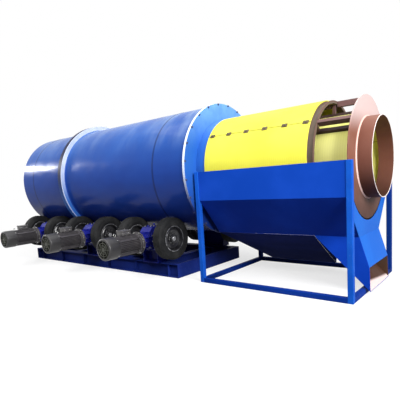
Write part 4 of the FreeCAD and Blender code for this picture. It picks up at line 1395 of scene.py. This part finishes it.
    def terminal_box(self) -> bpy.types.Object:
        """Terminal box with a lipped lid, on the motor's top."""
        middle = self.saddle
        long, wide, seam, lip = 0.085, 0.075, self.tip + 0.060, 0.005
        low = (middle - long + lip, lip - wide, self.tip)
        high = (middle + long - lip, wide - lip, seam)
        base = Bench.block("box", low, high, 0.006)
        low, high = (middle - long, -wide, seam), (middle + long, wide, seam + 0.019)
        lid = Bench.block("lid", low, high, 0.005)
        Bench.edit(lid)
        Bench.choose(lid, lambda face: face.normal.z > 0.95)
        bpy.ops.mesh.inset(thickness=0.012, depth=0.003)
        Bench.close(lid, 40.0)
        outline = [
            (0.0, 0.0), (0.0, 0.019), (0.010, 0.019), (0.012, 0.015), (0.026, 0.013), (0.026, 0.0)
        ]
        gland = Bench.turned("gland", outline, 24)
        gland.data.transform(Matrix.Rotation(math.pi / 2, 4, "Z"))
        spots = [(middle + along, wide - 0.007, self.tip + 0.028) for along in (-0.045, 0.045)]
        glands = Bench.spread(gland, [Matrix.Translation(spot) for spot in spots])
        return Bench.joined("terminal_box", [base, lid, *glands])

    def motor_fasteners(self) -> None:
        """Flange bolts, lid screws, cowl screws and the lifting eye."""
        middle = self.saddle
        bolt = Bench.bolt("motor_bolt", 0.011, 0.014)
        places = []
        for step in range(8):
            turn = (step + 0.5) * math.pi / 4
            places.append(aimed((1, 0, 0), ringed(0.018, self.bolt_circle, turn), turn))
        screw = Matrix.Diagonal((0.5, 0.5, 0.5, 1))
        for along in (-0.074, 0.074):
            for aside in (-0.064, 0.064):
                at = (middle + along, aside, self.tip + 0.079)
                places.append(aimed((0, 0, 1), at) @ screw)
        for step in range(4):
            turn = (step + 0.5) * math.pi / 2
            at = ringed(self.length + 0.012, self.cowl_radius, turn)
            places.append(aimed(ringed(0, 1, turn), at) @ screw)
        parts = Bench.spread(bolt, places)
        Bench.clear()
        bpy.ops.mesh.primitive_torus_add(
            major_radius=0.019, minor_radius=0.0055, major_segments=24, minor_segments=8,
            location=(self.length - 0.030, 0, self.tip + 0.022), rotation=(math.pi / 2, 0, 0),
        )
        eye = Bench.named("eye")
        Bench.bake_place(eye)
        Bench.close(eye)
        stem = Bench.turned("stem", [(0.0, 0.0), (0.0, 0.014), (0.012, 0.012), (0.016, 0.0)], 16)
        stem.data.transform(upright((self.length - 0.030, 0, self.tip - 0.008)))
        item = Bench.joined("motor_fasteners", [*parts, eye, stem])
        self.set_down(item, "motor_fasteners", BOLT_STEEL)

    def gear_details(self) -> None:
        """Breather, filler plug and level plug of the reducer."""
        outline = [
            (0.0, 0.0), (0.0, 0.014), (0.018, 0.014), (0.020, 0.020), (0.034, 0.020),
            (0.038, 0.014), (0.038, 0.0),
        ]
        breather = Bench.turned("breather", outline, 20)
        plug = Bench.bolt("plug", 0.014, 0.014)
        parts = Bench.spread(breather, [upright((0.040, 0.030, self.lid))])
        places = [aimed((0, 0, 1), (-0.045, -0.030, self.lid))]
        places += [aimed((side, 0, 0), (side * 0.110, -0.118, -0.130)) for side in (1, -1)]
        parts += Bench.spread(plug, places)
        item = Bench.joined(f"reducer_details_{self.number}", parts)
        item.data.transform(Matrix.Translation(self.gear))
        self.shop.place(item, "root", GEAR_BLUE)

    def gear_fasteners(self) -> None:
        """Bolts of the reducer's covers, snout and feet."""
        bolt = Bench.bolt("gear_bolt", 0.010, 0.013)
        cover, foot, snout, drop = 0.123, -0.166, -0.272, -0.040
        places = []
        for side in (-1, 1):
            for step in range(8):
                turn = (step + 0.5) * math.pi / 4
                at = ringed(side * cover, self.cover_circle, turn)
                places.append(aimed((side, 0, 0), at, turn))
            for along in (-0.065, 0.120):
                places.append(aimed((0, 0, 1), (side * 0.134, along, foot)))
            for along in (-0.070, 0.0, 0.070):
                places.append(aimed((0, 0, 1), (side * 0.064, along, self.lid)))
        for step in range(6):
            turn = (step + 0.5) * math.pi / 3
            across, up = ringed(snout, self.snout_circle, turn)[1:]
            at = (across, snout, up + drop)
            places.append(aimed((0, 1, 0), at, turn))
        item = Bench.joined(f"reducer_bolts_{self.number}", Bench.spread(bolt, places))
        item.data.transform(Matrix.Translation(self.gear))
        self.shop.place(item, "root", BOLT_STEEL)

    def build(self) -> None:
        """Make the drive. The first one also stands for the shared nodes of cowls and boxes."""
        shared = self.number == 1
        self.shop.keep(f"gearbox_{self.number}", GEAR_BLUE, 0.006)
        self.motor_body()
        self.set_down(self.cowl(), "fan_cowl", COWL_GREY, ("fan_cowls",) if shared else ())
        self.set_down(self.fan(), "fan", FAN_DARK)
        boxes = ("terminal_boxes",) if shared else ()
        self.set_down(self.terminal_box(), "terminal_box", BOX_GREY, boxes)
        self.motor_fasteners()
        self.gear_details()
        self.gear_fasteners()


@dataclass
class ScrubbingDrum:
    """Blue drum with its guide ring, its welds and the bolts of its discharge flange.

    Attributes:
        shop: Where its pieces go.
        bolts: Bolts of the discharge flange.
        bolt_circle: Radius of their circle.
        ring_radius: Radius of the guide ring.
        flange_radius: Radius of the discharge flange.
        axis_z: Height of the drum's axis.
    """

    shop: Shop
    bolts: int = 24
    bolt_circle: float = 1.0135
    ring_radius: float = 1.095
    flange_radius: float = 1.027
    axis_z: float = field(init=False)

    def __post_init__(self) -> None:
        """Read the axis from the shell."""
        low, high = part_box("scrubber_shell")
        self.axis_z = (low.z + high.z) / 2

    def weld(
        self, name: str, start: float, radius: float, lean: int, leg: float = 0.012
    ) -> bpy.types.Object:
        """Lay a fillet weld round the axis.

        Args:
            name: The bead's name.
            start: Where its root lies along X.
            radius: Radius of the surface that it lies on.
            lean: The direction along X in which its toe lies.
            leg: Length of its legs.

        Returns:
            The bead.
        """
        toe = start + lean * leg
        sunk, swell = 0.001, leg * 0.55
        outline = [
            (start, radius - sunk), (toe, radius - sunk), (start + lean * swell, radius + swell),
            (start, radius + leg),
        ]
        bead = Bench.turned(name, outline, 96)
        bead.data.transform(Matrix.Translation((0, 0, self.axis_z)))
        return bead

    def build(self) -> None:
        """Dress the drum."""
        skin = DrumSkin("drum_enamel", "drum_blue", self.axis_z)
        # Guide ring: pale painted reflection on its face, painted highlight on its edge, painted
        # shade on its lower part and on its dark rim.
        ring_paint = RingPaint(
            "guide_ring_paint", "drum_blue", (0.035, 0.140, 0.440), (0.018, 0.085, 0.330),
            rim=(0.004, 0.007, 0.035), axis_z=self.axis_z, edge=self.ring_radius, dust=0.74, line=0.9,
        )
        # Flange: painted light pales the face's top and its rim, painted shade darkens its lower
        # part.
        flange_paint = RingPaint(
            "flange_paint", "drum_blue", (0.018, 0.106, 0.430), (0.008, 0.030, 0.195),
            rim=(0.72, 0.78, 0.90), axis_z=self.axis_z, edge=self.flange_radius, dust=0.85,
            line=0.0, span=(0.25, 1.05), pale=(0.16, 0.36, 0.80),
        )
        for node in ("scrubber_shell", "feed_head", "feed_collar", "lifters"):
            self.shop.keep(node, skin)
        self.shop.keep("guide_ring", ring_paint, 0.004)
        for node in ("discharge_flange", "discharge_head", "neck_hoop"):
            self.shop.keep(node, flange_paint, 0.003)
        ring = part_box("guide_ring")
        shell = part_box("scrubber_shell")
        radius = (shell[1].y - shell[0].y) / 2 - 0.003
        beads = [
            self.weld("ring_weld_feed", ring[0].x, radius, -1, 0.016),
            self.weld("ring_weld_discharge", ring[1].x, radius, 1, 0.016),
            self.weld("flange_weld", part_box("discharge_flange")[0].x, radius, -1, 0.010),
        ]
        self.shop.place(Bench.joined("drum_welds", beads), "drum", skin)
        bolt = Bench.bolt("flange_bolt", 0.0125, 0.016)
        front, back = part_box("discharge_head")[1].x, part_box("discharge_flange")[0].x
        places = []
        for step in range(self.bolts):
            turn = 2 * math.pi * (step + 0.5) / self.bolts
            for side, along in ((1, front), (-1, back)):
                at = Vector(ringed(along, self.bolt_circle, turn)) + Vector((0, 0, self.axis_z))
                places.append(aimed((side, 0, 0), at, turn))
        item = Bench.joined("flange_bolts", Bench.spread(bolt, places))
        self.shop.place(item, "drum", FLANGE_BOLT)


@dataclass
class ScreeningDrum:
    """Two layers of yellow screening on hoops and bars, with the primed discharge ring.

    Attributes:
        shop: Where its pieces go.
        drum: The drum that carries it.
        seams: Seams between the outer panels.
        first_seam: Angle of one of them from the top, in degrees.
        clamps: Clamps along each seam.
        clamp_length: Length of a clamp.
        outer_radius: Radius of the outer layer.
        inner_radius: Radius of the inner layer.
    """

    shop: Shop
    drum: ScrubbingDrum
    seams: int = 6
    first_seam: float = 53.5
    clamps: int = 6
    clamp_length: float = 0.076
    outer_radius: float = 0.775
    inner_radius: float = 0.556

    def clamp_bolts(self) -> None:
        """Bolt each seam clamp down."""
        low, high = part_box("seam_clamps")
        start, end = low.x + self.clamp_length / 2, high.x - self.clamp_length / 2
        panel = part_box("screen_panels")
        radius = (panel[1].z - panel[0].z) / 2 + 0.006
        bolt = Bench.bolt("clamp_bolt", 0.012, 0.012)
        places = []
        for seam in range(self.seams):
            turn = math.radians(self.first_seam) + 2 * math.pi * seam / self.seams
            out = Vector((0, -math.sin(turn), math.cos(turn)))
            for step in range(self.clamps):
                along = start + (end - start) * step / (self.clamps - 1)
                at = out * radius + Vector((along, 0, self.drum.axis_z))
                places.append(aimed(tuple(out), tuple(at)))
        self.shop.place(Bench.joined("clamp_bolts", Bench.spread(bolt, places)), "drum", CLAMP_BOLT)

    def build(self) -> None:
        """Dress the screening drum."""
        axis_z = self.drum.axis_z
        outer = ScreenCloth(
            "outer_screening", "screen_yellow", (0.66, 0.64, 0.058), (0.46, 0.41, 0.03), axis_z,
            self.outer_radius,
        )
        inner = ScreenCloth(
            "inner_screening", "screen_yellow", (0.80, 0.78, 0.27), (0.5, 0.48, 0.12), axis_z,
            self.inner_radius,
        )
        self.shop.keep("screen_panels", outer)
        self.shop.keep("inner_screen", inner)
        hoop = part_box("window_hoop")
        rims = Rimmed(
            "hoop_primer", "red_primer", (0.12, 0.070, 0.056), (0.115, 0.088, 0.070), axis_z,
            limit=(hoop[1].z - hoop[0].z) / 2 - 0.020,
        )
        for node in ("middle_hoop", "window_hoop"):
            self.shop.keep(node, rims)
        for node in ("panel_longerons", "window_bars", "hoop_spokes"):
            self.shop.keep(node, BAR_PRIMER)
        # Inner bars darker as painted shade.
        self.shop.keep("inner_bars", DARK_PRIMER)
        self.shop.keep("seam_clamps", CLAMP_PRIMER, 0.001)
        plate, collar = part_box("ring_plate"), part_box("discharge_collar")
        # Ring plate and collar: painted light pales their upper parts, painted shade darkens their
        # lower parts.
        plate_primer = Primer(
            "ring_primer", "red_primer", (0.190, 0.074, 0.048), (0.56, 0.435, 0.42), 0.06,
            film=(axis_z + 0.24, axis_z + 0.60), foot=(axis_z - 0.85, axis_z + 0.10),
        )
        collar_primer = Primer(
            "collar_primer", "red_primer", (0.150, 0.056, 0.038), (0.36, 0.20, 0.16), 0.06,
            film=(axis_z + 0.20, axis_z + 0.90), foot=(axis_z - 0.62, axis_z - 0.05),
            lip=collar[1].x - 0.004,
        )
        self.shop.keep("ring_plate", plate_primer, 0.003)
        self.shop.keep("discharge_collar", collar_primer, 0.002)
        root = (collar[1].z - collar[0].z) / 2
        bead = self.drum.weld("collar_weld", plate[1].x, root, 1, 0.014)
        rim = self.drum.weld("rim_weld", plate[0].x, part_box("inner_screen")[1].y, -1, 0.012)
        self.shop.place(Bench.joined("discharge_welds", [bead, rim]), "drum", PALE_PRIMER)
        self.clamp_bolts()


@dataclass
class BaseFrame:
    """Beams, stands and the pillow blocks of the rear axles.

    Attributes:
        shop: Where its pieces go.
        block_offset: Distance of each block from the middle of its axle.
        bolt_spot: Place of a foot bolt along and across the axle.
        block_half: Half of a block's width along the axle.
        foot_half: Half of its foot's length.
        crown: Radius of its round top.
        drop: Height of the axle over its foot's underside.
        foot_height: Height of the foot.
        seal: Length of the seal on each side.
    """

    shop: Shop
    block_offset: float = 0.200
    bolt_spot: tuple[float, float] = (0.020, 0.0895)
    block_half: float = 0.039
    foot_half: float = 0.098
    crown: float = 0.082
    drop: float = 0.092
    foot_height: float = 0.034
    seal: float = 0.009

    def pillow_block(self) -> tuple[bpy.types.Object, bpy.types.Object]:
        """Make one cast block and its bolts about the axle."""
        half, crown = self.block_half, self.crown
        web = half - self.seal
        right = [(web, crown - 0.005), (web, 0.061), (half - 0.003, 0.060)]
        right += [(half, 0.056), (half, 0.0405)]
        round_part = [(-along, radius) for along, radius in reversed(right)]
        round_part += [(0.005 - web, crown), (web - 0.005, crown), *right]
        housing = Bench.turned("housing", round_part, 48)
        top = self.foot_height - self.drop
        wide = self.foot_half
        foot = Bench.block("foot", (-half, -wide, -self.drop), (half, wide, top), 0.005)
        cheek = Bench.block("cheek", (-web, -crown, top - 0.006), (web, -0.044, 0.0), 0.005)
        cheeks = Bench.spread(cheek, [Matrix.Identity(4), Matrix.Diagonal((1, -1, 1, 1))])
        outline = [(0, 0), (0, 0.006), (0.008, 0.006), (0.010, 0.004), (0.018, 0.004), (0.018, 0)]
        nipple = Bench.turned("nipple", outline, 12)
        nipple.data.transform(upright((0, 0, crown - 0.002)))
        block = Bench.joined("block", [housing, foot, *cheeks, nipple])
        bolt = Bench.bolt("block_bolt", 0.006, 0.010)
        along, across = self.bolt_spot
        spots = [(side * along, end * across, top) for side in (-1, 1) for end in (-1, 1)]
        bolts = Bench.spread(bolt, [aimed((0, 0, 1), spot) for spot in spots])
        return block, Bench.joined("block_bolts", bolts)

    def build(self) -> None:
        """Dress the base and set the pillow blocks."""
        for node in ("base_side_beams", "base_cross_beams", "base_end_channels", "base_stiffeners"):
            self.shop.keep(node, BASE_BLUE, 0.004)
        for node in ("front_stands", "rear_stands"):
            self.shop.keep(node, STAND_BLUE, 0.002)
        places = []
        for number in "123":
            low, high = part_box(f"rear_axle_{number}")
            for side in Side:
                shift = Vector((side.value * self.block_offset, 0, 0))
                places.append(Matrix.Translation((low + high) / 2 + shift))
        block, bolts = self.pillow_block()
        item = Bench.joined("pillow_blocks", Bench.spread(block, places))
        self.shop.place(item, "root", GEAR_BLUE, ("rear_pillow_blocks",))
        item = Bench.joined("pillow_block_bolts", Bench.spread(bolts, places))
        self.shop.place(item, "root", BOLT_STEEL)


@dataclass(frozen=True)
class PlateTone:
    """Paint and primer of one of the hopper's plates, as in Lined."""

    outside: Colour
    shade: Colour
    inside: Colour = (0.23, 0.125, 0.082)
    toe: tuple[float, float] = (-2.0, -1.0)


@dataclass
class Hopper:
    """Hopper with its two chutes: painted outside, primed inside.

    Attributes:
        shop: Where its pieces go.
        plate: Thickness of its plates.
        margin: Depth of the inner face's primer.
        upright: Tone of the side plates.
        sloping: Tone of the slope plates, which are in shade, darkened as painted shade.
        facing: Tone of the end plate and the chute's cover, lighter as painted light on these faces
            towards +X.
        cheek: Tone of the chute's sides, whose primer inside is darker as painted shade.
        bed: Tone of the chute's floor, whose primer is darker as painted shade and pale at its toe as
            painted light.
    """

    shop: Shop
    plate: float = 0.008
    margin: float = 0.0004
    upright: PlateTone = PlateTone((0.008, 0.060, 0.440), (0.005, 0.048, 0.370))
    # Painted shade: the slope plates are darker than the side plates.
    sloping: PlateTone = PlateTone((0.008, 0.044, 0.400), (0.005, 0.030, 0.300))
    # Painted light: the faces towards +X are lighter.
    facing: PlateTone = PlateTone((0.012, 0.125, 0.520), (0.010, 0.104, 0.480))
    # Painted shade: the primer inside the chute is darker.
    cheek: PlateTone = PlateTone(
        (0.006, 0.052, 0.450), (0.004, 0.040, 0.360), (0.075, 0.036, 0.020)
    )
    # Painted shade in the chute's primer, painted light on its toe.
    bed: PlateTone = PlateTone(
        (0.006, 0.052, 0.450), (0.004, 0.040, 0.360), (0.062, 0.025, 0.015), (0.090, 0.120)
    )

    def lined(
        self, node: str, tone: PlateTone, normal: Point, offset: float, both: bool = False
    ) -> None:
        """Paint a plate outside and prime its inner face."""
        finish = Lined(
            f"{node}_paint", "frame_blue", tone.outside, tone.shade, tone.inside, normal, offset,
            both, tone.toe,
        )
        self.shop.keep(node, finish, 0.0015)

    def sloped(
        self,
        node: str,
        tone: PlateTone,
        first: tuple[float, float],
        last: tuple[float, float],
        depth: float,
        across: bool,
    ) -> None:
        """Line a slanted plate on its upper side.

        Args:
            node: The plate.
            tone: Its paint and primer.
            first: One point of a line along the plate, as (x or y, z).
            last: Another, further from the first in +x or +y.
            depth: How far the inner face lies above that line.
            across: True where the line runs along Y and the plate has a twin.
        """
        run, rise = last[0] - first[0], last[1] - first[1]
        length = math.hypot(run, rise)
        flat, up = -rise / length, run / length
        offset = flat * first[0] + up * first[1] + depth - self.margin
        normal = (0.0, flat, up) if across else (flat, 0.0, up)
        self.lined(node, tone, normal, offset, across)

    def build(self) -> None:
        """Dress the hopper."""
        self.shop.keep("hopper_posts", FRAME_BLUE, 0.005)
        self.shop.keep("hopper_rails", RAIL_BLUE, 0.005)
        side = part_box("hopper_side_plates")
        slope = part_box("hopper_slope_plates")
        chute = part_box("chute_sides")
        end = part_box("hopper_end_plate")
        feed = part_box("hopper_feed_plate")
        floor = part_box("chute_floor")
        margin = self.margin
        wall = -(side[1].y - self.plate) - margin
        self.lined("hopper_side_plates", self.upright, (0, -1, 0), wall, True)
        knee, foot = (chute[1].y, slope[0].z), (slope[1].y, slope[1].z)
        self.sloped("hopper_slope_plates", self.sloping, knee, foot, self.plate, True)
        self.lined("hopper_end_plate", self.facing, (-1, 0, 0), -end[0].x - margin)
        self.lined("hopper_feed_plate", self.upright, (1, 0, 0), feed[1].x - margin)
        self.shop.keep("hopper_partition", INSIDE_PRIMER, 0.001)
        self.lined("chute_sides", self.cheek, (0, -1, 0), -(chute[1].y - self.plate) - margin, True)
        top, toe = (floor[0].x, floor[1].z), (floor[1].x, floor[0].z + self.plate)
        self.sloped("chute_floor", self.bed, top, toe, 0.0, False)
        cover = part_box("chute_cover")
        run, rise = cover[1].x - cover[0].x - self.plate, cover[1].z - cover[0].z
        length = math.hypot(run, rise)
        flat, up = -rise / length, -run / length
        offset = flat * cover[0].x + up * cover[1].z - margin
        self.lined("chute_cover", self.facing, (flat, 0, up), offset)
        for node in ("undersize_floor", "undersize_feed_wall", "undersize_end_wall"):
            self.shop.keep(node, UNDER_BLUE, 0.001)


def main() -> None:
    """Build the machine and its studio."""
    logging.basicConfig(level=logging.INFO, format="%(name)s: %(message)s")
    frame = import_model()
    Studio().build()
    shop = Shop(frame["nodes"])
    drum = ScrubbingDrum(shop)
    drum.build()
    ScreeningDrum(shop, drum).build()
    for row in Row:
        for number in (1, 2, 3):
            TyreUnit(shop, row, number).build()
    for number in (1, 2, 3):
        Drive(shop, number).build()
    BaseFrame(shop).build()
    Hopper(shop).build()


if __name__ == "__main__":
    main()
